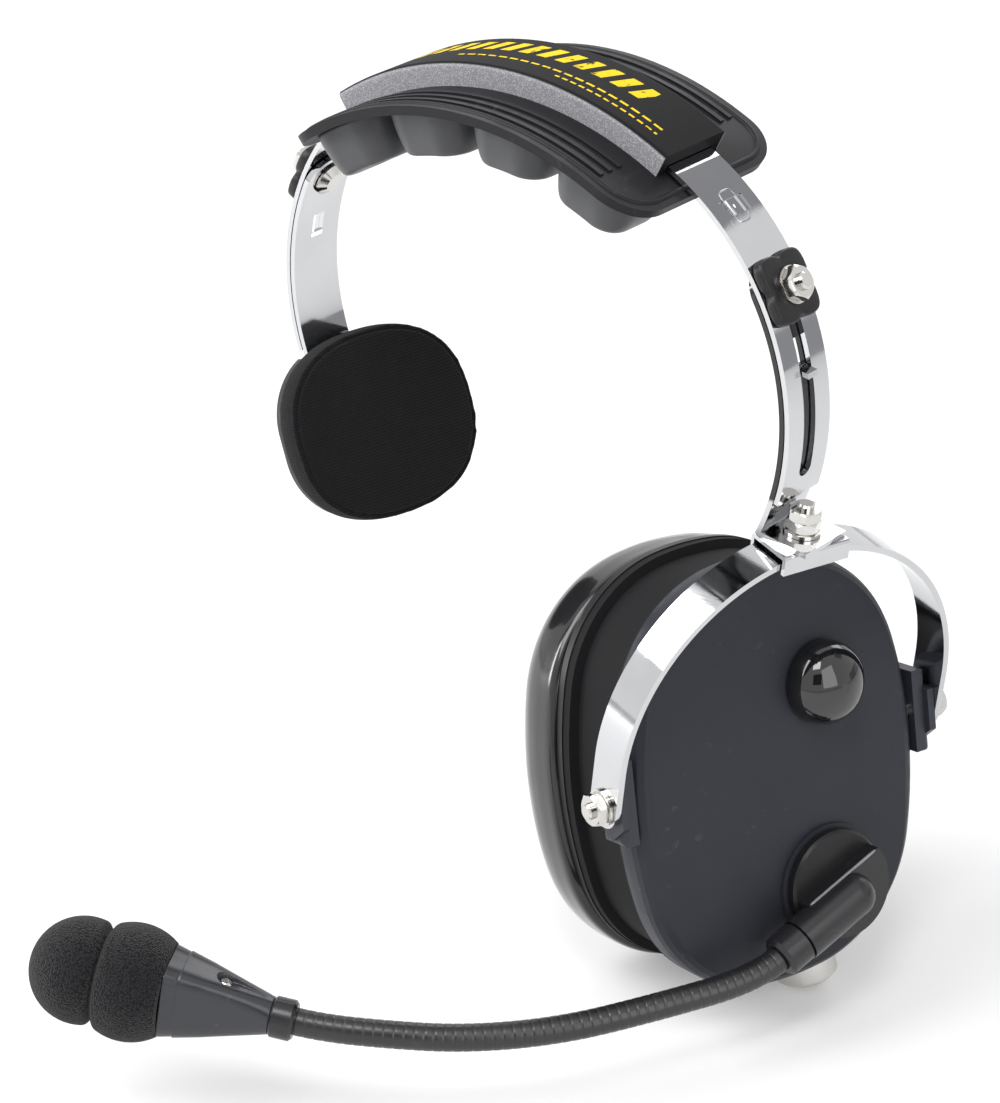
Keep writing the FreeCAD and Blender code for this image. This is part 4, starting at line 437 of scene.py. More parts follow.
# Pressed marks. An oval dished mark stamped in the band's outer face at each side, over the clamp,
# with a rim that stands a hair proud.

# Steps from the underside out to the rim and in to the dish's middle, round a superellipse.
mark_angle = 48.5
mark_turn = full_turn(96)
mark_steps = np.array([
    (0.0, -0.33), (0.90, -0.33), (1.0, -0.02), (1.0, 0.015), (0.98, 0.03), (0.94, 0.02),
    (0.88, -0.05), (0.80, -0.14), (0.68, -0.20), (0.5, -0.23), (0.25, -0.24), (0.0, -0.24)])
mark_reach = squarish(mark_turn, 4.35, 2.3, 4.5)[None] * mark_steps[:, :1]
mark_long_way = mark_reach * np.cos(mark_turn)
mark_rise = mark_steps[:, 1:] - mark_long_way ** 2 / (2 * band_outside)
mark_grid = grid_of(mark_long_way, mark_reach * np.sin(mark_turn), mark_rise)
for side, joint in (("ear", "ear_slide"), ("temple", "temple_slide")):
    settle(skin("pressed_mark_" + side, mark_grid, on_band(joint, mark_angle), ring=True), chrome, "head",
           "chrome_steel")


# Ear cup. One deep injection-moulded shell: a dark slate face with a fine spark texture and a
# rounded lip, rubbed paler in patches, and painted near black behind it as the shade where the wall draws in
# to the seal.
# Two blocks of a slightly paler slate on its wall carry the pivot screws.

cup_out = np.array(joints["volume_knob"]["axis"], float)
cup_back = np.array(joints["cup_tilt"]["axis"], float)
cup_up = np.cross(cup_out, cup_back)
cup_drop = 0.0044
cup_middle = np.array(joints["cup_tilt"]["pos_m"], float) - cup_up * cup_drop
lip_back = -0.0058

slate = moulded("slate grey shell", (0.025, 0.027, 0.034), (0.050, 0.053, 0.062), 0.38, 0.52,
                2200.0, 0.35, 0.08, 0.2)
tree, shader, place, face_tone = reopened(slate)
over = along(tree, place, cup_out, cup_middle)
face_before_painted_shade = remap(tree, over, lip_back + 0.0001, lip_back + 0.0006)
rub_low = remap(tree, over, lip_back, lip_back + 0.0008)
rub_high = remap(tree, over, lip_back + 0.0008, lip_back + 0.0030, 1.0, 0.0)
rub_patch = remap(tree, noise(tree, place, 140.0), 0.42, 0.62)
rub = times(tree, times(tree, rub_low, rub_high), rub_patch)
rubbed_tone = mix_colour(tree, times(tree, rub, 0.5), face_tone, (0.085, 0.088, 0.098))
face_haze = shader.inputs["Roughness"].links[0].from_socket
# Behind the lip the colour is painted near black, as shade in the drawn-in wall.
dress(shader, Base_Color=mix_colour(tree, face_before_painted_shade, (0.006, 0.006, 0.007), rubbed_tone),
      Roughness=remap(tree, face_before_painted_shade, 0.0, 1.0, 0.75, face_haze))
wears(slate, "cup_shell")
block_grey = moulded("slate grey block", (0.030, 0.032, 0.041), (0.055, 0.058, 0.068), 0.34, 0.46,
                     2200.0, 0.3, 0.1)
wears(block_grey, "pivot_block_front", "pivot_block_rear")


# Parts inside the cup. Paper cone, zinc-plated magnet and a small green circuit board with
# bright solder pads.

for node, name, base, fleck, low, high, size, rough, metal in (
        ("speaker_cone", "cone paper", (0.05, 0.048, 0.045), (0.1, 0.095, 0.09), 0.35, 0.65, 1200, 0.8, 0),
        ("speaker_magnet", "zinc plate", (0.42, 0.43, 0.45), (0.62, 0.63, 0.66), 0.35, 0.65, 260, 0.32, 1),
        ("circuit_board", "board green", (0.015, 0.1, 0.045), (0.55, 0.52, 0.42), 0.63, 0.66, 420, 0.35, 0)):
    material, tree, shader, place = new_material(name)
    mask = remap(tree, noise(tree, place, size), low, high)
    dress(shader, Base_Color=mix_colour(tree, mask, base, fleck), Metallic=metal, Roughness=rough)
    bump(shader, mask, 0.2)
    wears(material, node)


# Volume knob. A black dome with a polished face, moulded in one piece and pressed on its shaft. It
# is the shiniest plastic on the headset.

gloss = moulded("gloss black", (0.008, 0.008, 0.009), (0.016, 0.016, 0.017), 0.04, 0.09,
                900.0, 0.03, 0.05, 0.5)
dress(gloss.node_tree.nodes["Principled BSDF"], Coat_Weight=0.6, Coat_Roughness=0.03)
wears(gloss, "volume_knob")


# Cord socket insert. A turned and plated contact block of the colour of bronze, with four dark pin
# holes, pressed into the socket's sleeve.

bronze = plated("bronze contacts", (0.52, 0.31, 0.13), 0.20, 0.34, (2500,) * 3, 0.3, 0.000005)
wears(bronze, "socket_insert")


# Ear seal. A foam and gel ring in a welded skin of glossy black vinyl. The skin is crowned, rolls
# in to the ear opening, and puckers a little round it.

def lengths_along(line):
    """Length from a line's start to each of its points."""
    return np.concatenate([[0.0], np.cumsum(np.linalg.norm(np.diff(line, axis=0), axis=1))])


def loop_evenly(points, count):
    """Closed outline resampled at even steps of length, with its outward normals."""
    closed = np.vstack([points, points[:1]])
    length = lengths_along(closed)
    at = np.linspace(0.0, length[-1], count, endpoint=False)
    even = np.stack([np.interp(at, length, closed[:, i]) for i in range(2)], axis=1)
    way = np.roll(even, -1, 0) - np.roll(even, 1, 0)
    way /= np.linalg.norm(way, axis=1, keepdims=True)
    return even, np.stack([way[:, 1], -way[:, 0]], axis=1), at


def oval(half_wide, half_high, side, end, corner, count):
    """Outline of eight arcs: flat sides, flat ends and four tighter corners."""
    side_x, end_y = half_wide - side, half_high - end
    reach_side, reach_end = side - corner, end - corner
    gap = math.hypot(side_x, end_y)
    share = (reach_side ** 2 - reach_end ** 2 + gap ** 2) / (2 * gap)
    off = math.sqrt(max(reach_side ** 2 - share ** 2, 0.0))
    ux, uy = -side_x / gap, end_y / gap
    cx, cy = side_x + share * ux + off * uy, share * uy - off * ux
    if cx < 0 or cy < 0:
        cx, cy = side_x + share * ux - off * uy, share * uy + off * ux
    split_side, split_end = math.atan2(cy, cx - side_x), math.atan2(cy - end_y, cx)
    t = np.linspace(0, 1, 60)
    first = split_side * t
    middle = split_side + (split_end - split_side) * t
    last = split_end + (math.pi / 2 - split_end) * t
    quarter = np.concatenate([
        np.stack([side_x + side * np.cos(first), side * np.sin(first)], 1),
        np.stack([cx + corner * np.cos(middle), cy + corner * np.sin(middle)], 1)[1:],
        np.stack([end * np.cos(last), end_y + end * np.sin(last)], 1)[1:]])
    upper = np.concatenate([quarter, (quarter * (-1, 1))[::-1][1:]])
    whole = np.concatenate([upper, (upper * (1, -1))[::-1][1:-1]])
    return loop_evenly(whole, count)


def profile_curve(points, count):
    """Smooth open curve through points (two columns), by a Catmull-Rom spline."""
    points = np.array(points, float)
    ends = np.vstack([2 * points[0] - points[1], points, 2 * points[-1] - points[-2]])
    t = np.linspace(0, len(points) - 1, count)
    cell = np.minimum(t.astype(int), len(points) - 2)
    f = (t - cell)[:, None]
    a, b, c, e = ends[cell], ends[cell + 1], ends[cell + 2], ends[cell + 3]
    squared, cubed = 2 * a - 5 * b + 4 * c - e, 3 * b - a - 3 * c + e
    return 0.5 * (2 * b + (c - a) * f + squared * f ** 2 + cubed * f ** 3)


# The ring runs between two ovals. Its section gives the share of the way in and of the thickness,
# and sine waves round it pucker the opening and slacken the side.
seal_low, seal_thick, pucker_deep, slack_deep = 1.0, 17.0, 0.22, 0.16
cup_face, cup_deep, baffle_thick = 5.2, 32.0, 2.0
seal_back = cup_face - cup_deep - baffle_thick
seal_place = (cup_middle * 1000 - cup_up * seal_low, cup_out, cup_back, cup_up)
seal_outer, seal_normal, seal_length = oval(41.0, 50.2, 107.6, 69.7, 34.85, 360)
seal_inner, _, _ = oval(21.5, 30.5, 56.4, 36.6, 18.3, 360)
seal_profile = profile_curve([
    (0.20, 0.0), (0.10, 0.006), (0.032, 0.035), (0.004, 0.11), (0.0, 0.26), (0.004, 0.46), (0.030, 0.66),
    (0.095, 0.83), (0.21, 0.94), (0.37, 0.99), (0.53, 1.0), (0.70, 0.98), (0.85, 0.90), (0.96, 0.74),
    (1.0, 0.55), (0.985, 0.30), (0.93, 0.0)], 140)
share, height = seal_profile[:, :1], seal_profile[:, 1:] * seal_thick
ring_yz = seal_outer[None] * (1 - share[..., None]) + seal_inner[None] * share[..., None]
seal_turn = seal_length / seal_length[-1] * 2 * math.pi
pucker = np.sin(seal_turn * 41) * 0.5 + np.sin(seal_turn * 23 + 1.0) * 0.5
inward_fold = np.clip((share - 0.80) / 0.2, 0, 1) * pucker_deep
slack = np.sin(seal_turn * 7 + 0.6) * 0.6 + np.sin(seal_turn * 17 + 2.0) * 0.4
side_wave = np.exp(-((share - 0.03) / 0.06) ** 2) * np.clip(height / seal_thick * 3, 0, 1) * slack_deep
outward_move = inward_fold * pucker[None] - side_wave * (slack[None] + 1) / 2
seal_yz = ring_yz + seal_normal[None] * outward_move[..., None]
seal_grid = grid_of(seal_back - 0.05 - height, seal_yz[..., 0], seal_yz[..., 1])

vinyl, tree, shader, place = new_material("glossy black vinyl")
mottle = noise(tree, place, 90.0)
vinyl_tone = mix_colour(tree, mottle, (0.009, 0.009, 0.010), (0.013, 0.013, 0.014))
dress(shader, Base_Color=vinyl_tone, Specular_IOR_Level=0.2, Coat_Weight=0.7, Coat_Roughness=0.08,
      Roughness=placed(tree, haze, Position=place, Size=55.0, Clean=0.16, Worn=0.26))
leather = dress(added(tree, "TexVoronoi", feature="DISTANCE_TO_EDGE"), Vector=place, Scale=1500.0)
grain_normal = bump(shader, remap(tree, leather.outputs["Distance"], 0.0, 0.12), 0.10, 0.00005)
bump(shader, noise(tree, place, 120.0, 3.0, 0.5), 0.25, 0.0004, grain_normal)
ear_seal = settle(skin("ear_seal_skin", seal_grid, seal_place, ring=True), vinyl, "cup", "seal_vinyl",
                  "ear_seal")


# Foams in the cup. A thin open-cell disc over the speaker behind the ear opening, and a lining
# wrapped round the inside of the shell.

open_cells, given, made = effect("open foam cells", "Depth", "Position", Size=1400.0)
cells = dress(added(open_cells, "TexVoronoi"), Vector=given["Position"], Scale=given["Size"])
dress(made, Depth=remap(open_cells, cells.outputs["Distance"], 0.1, 0.7))


def foam(name, size, wall_dark, wall_pale, sheen):
    """Open-cell foam: dark pits between paler walls, with paler patches."""
    material, tree, shader, place = new_material(name)
    pits = placed(tree, open_cells, Position=place, Size=size)
    wall = mix_colour(tree, noise(tree, place, 70.0), wall_dark, wall_pale)
    dress(shader, Base_Color=mix_colour(tree, pits, wall, (0.006, 0.006, 0.007)), Roughness=0.95,
          Specular_IOR_Level=0.15, Sheen_Weight=sheen)
    bump(shader, maths(tree, "SUBTRACT", 1.0, pits), 0.8, 0.0004)
    return material


cup_place = (cup_middle * 1000, cup_out, cup_back, cup_up)
lining_foam = foam("lining foam", 1400.0, (0.026, 0.026, 0.028), (0.036, 0.036, 0.039), 0.15)
foam_outline, foam_normal, _ = oval(19.3, 28.3, 50.7, 32.8, 16.4, 160)
foam_inset = np.array([3.0, 0.8, 0.0, 0.0, 0.8, 3.0, 12.0])
foam_height = np.array([-0.1, -0.1, -0.5, -1.6, -2.1, -2.3, -2.4]) + seal_back
foam_yz = foam_outline[None] - foam_normal[None] * foam_inset[:, None, None]
foam_grid = grid_of(foam_height[:, None], foam_yz[..., 0], foam_yz[..., 1])
speaker_foam = settle(skin("speaker_foam_disc", foam_grid, seal_place), lining_foam, "cup", "black_foam",
                      "speaker_foam")


def rounded_rectangle(half_x, half_y, corner, count):
    """Rectangle with round corners: quarter circles joined by straight sides."""
    t = np.linspace(0, math.pi / 2, 24)
    arcs = [np.stack([sx * (half_x - corner) + corner * np.cos(t + quarter * math.pi / 2),
                      sy * (half_y - corner) + corner * np.sin(t + quarter * math.pi / 2)], 1)
            for quarter, (sx, sy) in enumerate(((1, 1), (-1, 1), (-1, -1), (1, -1)))]
    return loop_evenly(np.concatenate(arcs), count)


liner_inset, liner_thick = 5.6, 4.5
liner_low, liner_high, liner_end = -21.6, -3.3, -19.8
liner_path, liner_way, _ = oval(40.0 - liner_inset, 50.8 - liner_inset, 105.0 - liner_inset,
                                68.0 - liner_inset, 34.0 - liner_inset, 240)
kept = np.nonzero(liner_path[:, 1] > liner_end)[0]
split = np.nonzero(np.diff(kept) > 1)[0]
if len(split):
    kept = np.concatenate([kept[split[0] + 1:], kept[:split[0] + 1]])
section, _, _ = rounded_rectangle((liner_high - liner_low) / 2, liner_thick / 2, 1.2, 40)
liner_x = section[:, 0] + (liner_high + liner_low) / 2
liner_in = liner_thick / 2 + section[:, 1]
liner_yz = liner_path[kept][:, None] - liner_way[kept][:, None] * liner_in[None, :, None]
liner_grid = grid_of(liner_x[None], liner_yz[..., 0], liner_yz[..., 1])
cup_liner = settle(skin("cup_lining", liner_grid, cup_place), lining_foam, "cup", "black_foam", "cup_liner")


# Head pad. A curved plate in dark satin plastic with a raised bead round its edge carries two rows
# of soft moulded blocks, each crowned and narrower towards the head.

crown_pad = ((0.0, 0.0, -73.3), (0.9988, 0.0, 0.0488), (0.0, 1.0, 0.0), (-0.0488, 0.0, 0.9988))
crown_middle, half_strip, pad_gap, plate_thick = 88.0, 0.6, 0.6, 2.2
plate_top = crown_middle - half_strip - pad_gap
pad_root = plate_top - plate_thick


def round_crown(flat, radius, reach):
    """Flat points wrapped round the crown: their long way over the radius is the angle."""
    angle = flat[..., 0] / radius
    return grid_of(np.sin(angle) * reach, flat[..., 1], np.cos(angle) * reach)


plate_plastic = moulded("dark satin plate", (0.011, 0.011, 0.013), (0.030, 0.030, 0.034), 0.40, 0.50,
                        2300.0, 0.2, gloss=0.2)
wears(plate_plastic, "head_pad_base")

plate_half_angle, plate_half_wide, plate_corner = 36.2, 27.0, 11.0
bead_inset, bead_radius, bead_sunk = 2.4, 0.8, 0.32
bead_line, bead_way, _ = rounded_rectangle(math.radians(plate_half_angle) * plate_top - bead_inset,
                                           plate_half_wide - bead_inset, plate_corner - bead_inset, 400)
bead_turn = full_turn(14)
bead_flat = bead_line[:, None] + bead_way[:, None] * (np.cos(bead_turn) * bead_radius)[None, :, None]
bead_reach = plate_top - bead_sunk + np.sin(bead_turn)[None] * bead_radius
bead_grid = round_crown(bead_flat, plate_top, bead_reach)
settle(skin("base_bead", bead_grid, crown_pad, ring=True), plate_plastic, "head", "black_plastic")

soft_foam, tree, shader, place = new_material("soft moulded foam")
mottle = noise(tree, place, 220.0, 4.0, 0.7)
soft_tone = mix_colour(tree, mottle, (0.046, 0.047, 0.051), (0.066, 0.067, 0.072))
dress(shader, Base_Color=soft_tone, Specular_IOR_Level=0.35, Sheen_Weight=0.1,
      Roughness=placed(tree, haze, Position=place, Size=90.0, Clean=0.40, Worn=0.52))
bump(shader, placed(tree, grain, Position=place, Size=1700.0), 0.5, 0.0001)

# A block's levels: how far its side has drawn in, and the share of its height there.
block_long, block_wide, block_high, block_corner, block_pitch, block_row = 23.4, 22.0, 11.2, 8.0, 25.2, 12.6
block_outline, block_outward, _ = rounded_rectangle(block_long / 2, block_wide / 2, block_corner, 96)
block_levels = profile_curve([(0.0, 0.0), (0.05, 0.25), (0.35, 0.50), (0.85, 0.74), (1.5, 0.90),
                              (2.4, 0.965), (3.8, 0.99), (6.0, 1.0), (8.8, 1.0)], 48)
block_flat = block_outline[None] - block_outward[None] * block_levels[:, :1, None]
block_reach = pad_root - 0.05 - block_levels[:, 1:] * block_high
for row, way in (("front", -1), ("rear", 1)):
    blocks = []
    for i in range(4):
        moved = block_flat + ((i - 1.5) * block_pitch, way * block_row)
        blocks.append(skin("block", round_crown(moved, pad_root, block_reach), crown_pad))
    with bpy.context.temp_override(active_object=blocks[0], selected_editable_objects=blocks):
        bpy.ops.object.join()
    blocks[0].name = "head_cushions_" + row
    settle(blocks[0], soft_foam, "head", "cushion_foam", "head_pad_cushions_" + row)


# Crown cover. A stiff moulded channel over the band: near-black top with a printed row of plain
# slanted bars and two thin dashed lines in yellow, and light grey speckled side walls.

bars, given, made = effect("repeated bars", "Mask", Across=0.0, Pitch=0.005, Filled=0.5)
phase = maths(bars, "FRACT", maths(bars, "DIVIDE", given["Across"], given["Pitch"]))
dress(made, Mask=maths(bars, "LESS_THAN", phase, given["Filled"]))


def between(tree, value, low, high):
    """One where a value lies between two limits."""
    above = maths(tree, "GREATER_THAN", value, low)
    return times(tree, above, maths(tree, "LESS_THAN", value, high))


# Each printed row: the way its bars repeat, its limits across and along, its pitch and inked share.
cover, tree, shader, place = new_material("speckled crown cover")
apart = dress(added(tree, "SeparateXYZ"), Vector=place).outputs
straight = maths(tree, "ADD", apart["X"], 1.0)
slant = maths(tree, "SUBTRACT", straight, times(tree, apart["Y"], 0.35))
printed = 0.0
for way, low, high, start, end, pitch, filled in (
        (slant, 0.0006, 0.0066, -0.039, 0.029, 0.0052, 0.56),
        (straight, -0.00435, -0.00365, -0.020, 0.038, 0.0031, 0.72),
        (straight, -0.00670, -0.00610, 0.010, 0.038, 0.0023, 0.66)):
    across_row, along_row = between(tree, apart["Y"], low, high), between(tree, apart["X"], start, end)
    inked = times(tree, placed(tree, bars, Across=way, Pitch=pitch, Filled=filled),
                  times(tree, across_row, along_row))
    printed = maths(tree, "MAXIMUM", printed, inked)
worn_print = times(tree, printed, remap(tree, noise(tree, place, 500.0), 0.30, 0.42))
top_tone = mix_colour(tree, worn_print, (0.006, 0.006, 0.007), (0.80, 0.56, 0.010))
speck = dress(added(tree, "TexVoronoi"), Vector=place, Scale=2500.0).outputs["Distance"]
side_tone = mix_colour(tree, remap(tree, speck, 0.22, 0.48), (0.42, 0.42, 0.445), (0.24, 0.24, 0.255))
side_share = remap(tree, maths(tree, "ABSOLUTE", apart["Y"]), 0.01035, 0.01060)
dress(shader, Base_Color=mix_colour(tree, side_share, top_tone, side_tone), Roughness=0.62,
      Specular_IOR_Level=0.12)
bump(shader, placed(tree, grain, Position=place, Size=1900.0), 0.4)
wears(cover, "crown_cover")


# Temple pad. A foam cushion in fine black knit on a thin plate, sewn round its edge. The cushion
# is puffed up by a cloth simulation that is held at its seam and its back.

temple_x = np.array((-0.3574, 0.0657, 0.9316))
temple_y = np.array((-0.2649, -0.9637, -0.0337))
temple_z = np.array((0.8956, -0.2588, 0.3618))
temple_origin = np.array((-60.3164, 2.8874, -86.8544))
temple_place = (temple_origin, temple_x, temple_y, temple_z)
pad_half_x, pad_half_y, pad_power = 23.3, 25.35, 2.38
pad_low, pad_thick = 2.1, 10.0
pad_turn = full_turn(400)
round_pad = np.stack([np.cos(pad_turn), np.sin(pad_turn)], 1)
pad_line = np.sign(round_pad) * np.abs(round_pad) ** (2 / pad_power) * (pad_half_x, pad_half_y)
pad_outline, _, _ = loop_evenly(pad_line, 220)
pad_levels = profile_curve([
    (0.04, 0.0), (0.5, 0.0), (0.93, 0.0), (0.975, 0.06), (0.992, 0.25), (0.992, 0.55), (0.980, 0.78),
    (0.945, 0.88), (0.86, 0.91), (0.6, 0.935), (0.3, 0.95), (0.04, 0.955)], 90)
pad_xy = pad_outline[None] * pad_levels[:, :1, None]
pad_grid = grid_of(pad_xy[..., 0], pad_xy[..., 1], pad_low + pad_levels[:, 1:] * pad_thick)
temple_cushion = skin("temple_cushion", pad_grid, temple_place)


def corners_of(mesh, what="co"):
    """Every point of a mesh as one array, or every point's normal."""
    values = np.zeros(len(mesh.vertices) * 3)
    mesh.vertices.foreach_get(what, values)
    return values.reshape(-1, 3)


def baked(thing):
    """Puts what a piece's modifiers make into its mesh."""
    bpy.context.view_layer.update()
    made_mesh = bpy.data.meshes.new_from_object(thing.evaluated_get(bpy.context.evaluated_depsgraph_get()))
    thing.modifiers.clear()
    thing.data = made_mesh
    return made_mesh


def puffed(thing, held_where, pressure, reach):
    """Cloth under inside pressure, worked out ten times as large: points go at most a reach away."""
    big, frames, even_step = 10.0, 20, 0.0013
    remesh = thing.modifiers.new("even skin", "REMESH")
    remesh.mode = "VOXEL"
    remesh.voxel_size = even_step
    mesh = baked(thing)
    before = corners_of(mesh)
    after = before
    mesh.vertices.foreach_set("co", (before * big).ravel())
    held = thing.vertex_groups.new(name="sewn")
    held.add(np.nonzero(held_where(before))[0].tolist(), 1.0, "REPLACE")
    cloth = thing.modifiers.new("cloth", "CLOTH")
    cloth.settings.use_pressure = True
    cloth.settings.uniform_pressure_force = pressure
    cloth.settings.effector_weights.gravity = 0
    cloth.settings.vertex_group_mass = "sewn"
    cloth.point_cache.frame_start = 1
    cloth.point_cache.frame_end = frames
    for step in range(1, frames + 1):
        scene.frame_set(step)
    swollen = thing.evaluated_get(bpy.context.evaluated_depsgraph_get())
    after = corners_of(swollen.data) / big
    thing.modifiers.clear()
    thing.vertex_groups.clear()
    scene.frame_set(1)
    move = after - before
    far = np.linalg.norm(move, axis=1, keepdims=True)
    after = before + move * np.minimum(1.0, reach / np.maximum(far, 1e-9))
    mesh.vertices.foreach_set("co", after.ravel())
    finer = thing.modifiers.new("finer", "SUBSURF")
    finer.levels = finer.render_levels = 2
    baked(thing).shade_smooth()


def pad_ring(points):
    """Share of the pad's outline on which each point lies, and its height over the plate."""
    local = points * 1000 - temple_origin
    across, down, up = local @ temple_x, local @ temple_y, local @ temple_z
    ring = np.abs(across / pad_half_x) ** pad_power + np.abs(down / pad_half_y) ** pad_power
    return ring ** (1 / pad_power), up - pad_low


def at_seam_or_back(points):
    """The sewn edge between face and side, and the back."""
    ring, up = pad_ring(points)
    return (up < 0.6) | ((ring > 0.90) & (up > pad_thick * 0.80))


puffed(temple_cushion, at_seam_or_back, 4.0, 0.0018)
points = corners_of(temple_cushion.data)
ring, up = pad_ring(points)
outwards = corners_of(temple_cushion.data, "normal")
on_face = np.clip((up / pad_thick - 0.70) / 0.12, 0, 1)
groove = np.exp(-((ring - 0.945) / 0.014) ** 2) * on_face
welt = np.exp(-((ring - 0.975) / 0.012) ** 2) * on_face
points = points + outwards * (welt * 0.00035 - groove * 0.00055)[:, None]
temple_cushion.data.vertices.foreach_set("co", points.ravel())
temple_cushion.data.update()

knitted, given, made = effect("knit stitches", "Height", Across=0.0, Along=0.0, Pitch=0.0007)
column = maths(knitted, "DIVIDE", given["Across"], given["Pitch"])
half_column = maths(knitted, "ABSOLUTE", maths(knitted, "SUBTRACT", maths(knitted, "FRACT", column), 0.5))
lean = times(knitted, half_column, 1.2)
rows_at = maths(knitted, "ADD", maths(knitted, "DIVIDE", given["Along"], given["Pitch"]), lean)
loop_rise = maths(knitted, "SINE", times(knitted, rows_at, 2 * math.pi))
loop_height = maths(knitted, "ADD", times(knitted, loop_rise, 0.35), 0.65)
ridge = maths(knitted, "SINE", times(knitted, half_column, 2 * math.pi))
dress(made, Height=times(knitted, loop_height, ridge))

pad_mean_radius = 0.0245
knit, tree, shader, place = new_material("black knit")
across, down, upward = (along(tree, place, axis, temple_origin / 1000)
                        for axis in (temple_x, temple_y, temple_z))
round_way = times(tree, maths(tree, "ARCTAN2", across, down), pad_mean_radius)
face_knit = placed(tree, knitted, Across=down, Along=across, Pitch=0.00075)
side_knit = placed(tree, knitted, Across=round_way, Along=upward, Pitch=0.0008)
facing = along(tree, added(tree, "NewGeometry").outputs["Normal"], temple_z)
flat_share = remap(tree, facing, 0.55, 0.70)
side_share = maths(tree, "SUBTRACT", 1.0, flat_share)
stitch = maths(tree, "ADD", times(tree, face_knit, flat_share), times(tree, side_knit, side_share))
yarn = mix_colour(tree, noise(tree, place, 160.0), (0.012, 0.012, 0.013), (0.018, 0.018, 0.020))
yarn_tone = mix_colour(tree, remap(tree, stitch, 0.0, 0.8), (0.003, 0.003, 0.0035), yarn)
dress(shader, Base_Color=yarn_tone, Roughness=0.85, Specular_IOR_Level=0.1, Sheen_Weight=0.05,
      Sheen_Roughness=0.5)
bump(shader, stitch, 0.7, 0.00025)
settle(temple_cushion, knit, "temple", "knit_fabric", "temple_pad_cushion")


# Boom hub edge. The half-disc of the hub ends in a sharp moulded edge along its chord, coloured
# pale grey there as a painted highlight.

hub_centre = np.array(joints["boom_pivot"]["pos_m"]) * 1000
hub_turn = math.radians(201.5)
chord_way = math.cos(hub_turn) * cup_back + math.sin(hub_turn) * cup_up
chord_across = -math.sin(hub_turn) * cup_back + math.cos(hub_turn) * cup_up
chord_from, chord_to, chord_off, chord_out, edge_radius = -10.5, 11.0, -3.4, 12.5, 0.35
chord_at = np.linspace(chord_from, chord_to, 60)[:, None]
edge_share = (chord_at - chord_from) / (chord_to - chord_from) * 2 - 1
edge_turn = full_turn(16)[None]
edge_reach = edge_radius * np.sqrt(np.clip(1 - edge_share ** 16, 0.01, 1))
edge_grid = grid_of(chord_at, chord_off + edge_reach * np.cos(edge_turn),
                    chord_out + edge_reach * np.sin(edge_turn))
# Pale grey base colour: a painted highlight along the chord edge.
painted_highlight_edge = moulded("painted highlight edge", (0.20, 0.20, 0.21), (0.34, 0.34, 0.35), 0.22, 0.34,
                      2600.0, 0.1, 0.3, 0.6)
settle(skin("hub_edge", edge_grid, (hub_centre, chord_way, chord_across, cup_out)), painted_highlight_edge, "boom",
       "black_plastic")


# Gooseneck. A finely ribbed sleeve of satin black rubber over a steel flex, from the collar on
# the boom arm to the microphone.

neck_start = np.array((81.4358, -18.4084, -174.7236))
neck_way = np.array((-0.1920, -0.9271, -0.3219))
neck_route = [neck_start, neck_start + neck_way * 7.5, (68.6, -47.9, -177.8), (56.8, -67.1, -178.7),
              (42.6, -84.0, -177.9), (28.2, -97.9, -174.9), (18.1, -104.5, -173.9), (12.8, -107.5, -172.8)]
neck_line = bpy.data.curves.new("neck line", "CURVE")
neck_line.dimensions = "3D"
spline = neck_line.splines.new("NURBS")
spline.points.add(len(neck_route) - 1)
for point, spot in zip(spline.points, neck_route):
    point.co = (*spot, 1)
spline.order_u, spline.use_endpoint_u = 3, True
neck_line.resolution_u = 40
neck_curve = in_scene("neck line", neck_line)
bpy.context.view_layer.update()
line_mesh = bpy.data.meshes.new_from_object(neck_curve)
line_points = corners_of(line_mesh)
bpy.data.meshes.remove(line_mesh)
bpy.data.objects.remove(neck_curve)
neck_crest, neck_groove, neck_pitch = 3.14, 0.11, 2.2


def ribbed_tube(line, around):
    """Rings across a line at even steps, each with the radius of round ribs and narrow grooves."""
    length = lengths_along(line)
    at = np.linspace(0.0, length[-1], int(length[-1] / neck_pitch * 12))
    middle = np.stack([np.interp(at, length, line[:, i]) for i in range(3)], 1)
    way = np.gradient(middle, axis=0)
    way /= np.linalg.norm(way, axis=1, keepdims=True)
    side = np.cross(way, (0, 0, 1.0))
    side /= np.linalg.norm(side, axis=1, keepdims=True)
    up = np.cross(side, way)
    turn = full_turn(around)
    from_groove = np.abs((at / neck_pitch) % 1.0 - 0.5) * 2
    radius = neck_crest - neck_groove * np.clip((from_groove - 0.55) / 0.45, 0, 1) ** 2
    return middle[:, None] + radius[:, None, None] * (
        np.cos(turn)[None, :, None] * side[:, None] + np.sin(turn)[None, :, None] * up[:, None])


neck_rubber = moulded("satin neck rubber", (0.010, 0.010, 0.011), (0.022, 0.022, 0.023), 0.30, 0.40,
                      2600.0, 0.10, 0.1, 0.6)
world_frame = ((0, 0, 0), (1, 0, 0), (0, 1, 0), (0, 0, 1))
sleeve = skin("gooseneck_sleeve", ribbed_tube(line_points, 44), world_frame)
sleeve.data.materials.append(neck_rubber)
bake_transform(sleeve)
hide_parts("gooseneck")


# Microphone. A two-part moulded housing that flares from its collar, a capsule in its mouth and
# a foam muff of two round lobes.

mic_place = ((12.8, -107.5, -172.8), (0.1546, 0.0875, 0.9840), (-0.4926, 0.8703, 0.0),
             (-0.8563, -0.4847, 0.1777))
mic_grey = moulded("satin grey housing", (0.026, 0.027, 0.033), (0.075, 0.076, 0.082), 0.20, 0.28,
                   2200.0, 0.12, gloss=0.5)
tree, shader, place, housing_tone = reopened(mic_grey)
over_seam = maths(tree, "ABSOLUTE", along(tree, place, mic_place[2], np.array(mic_place[0]) / 1000))
seam = remap(tree, over_seam, 0.00004, 0.00009)
dress(shader, Base_Color=mix_colour(tree, seam, (0.004, 0.004, 0.005), housing_tone))

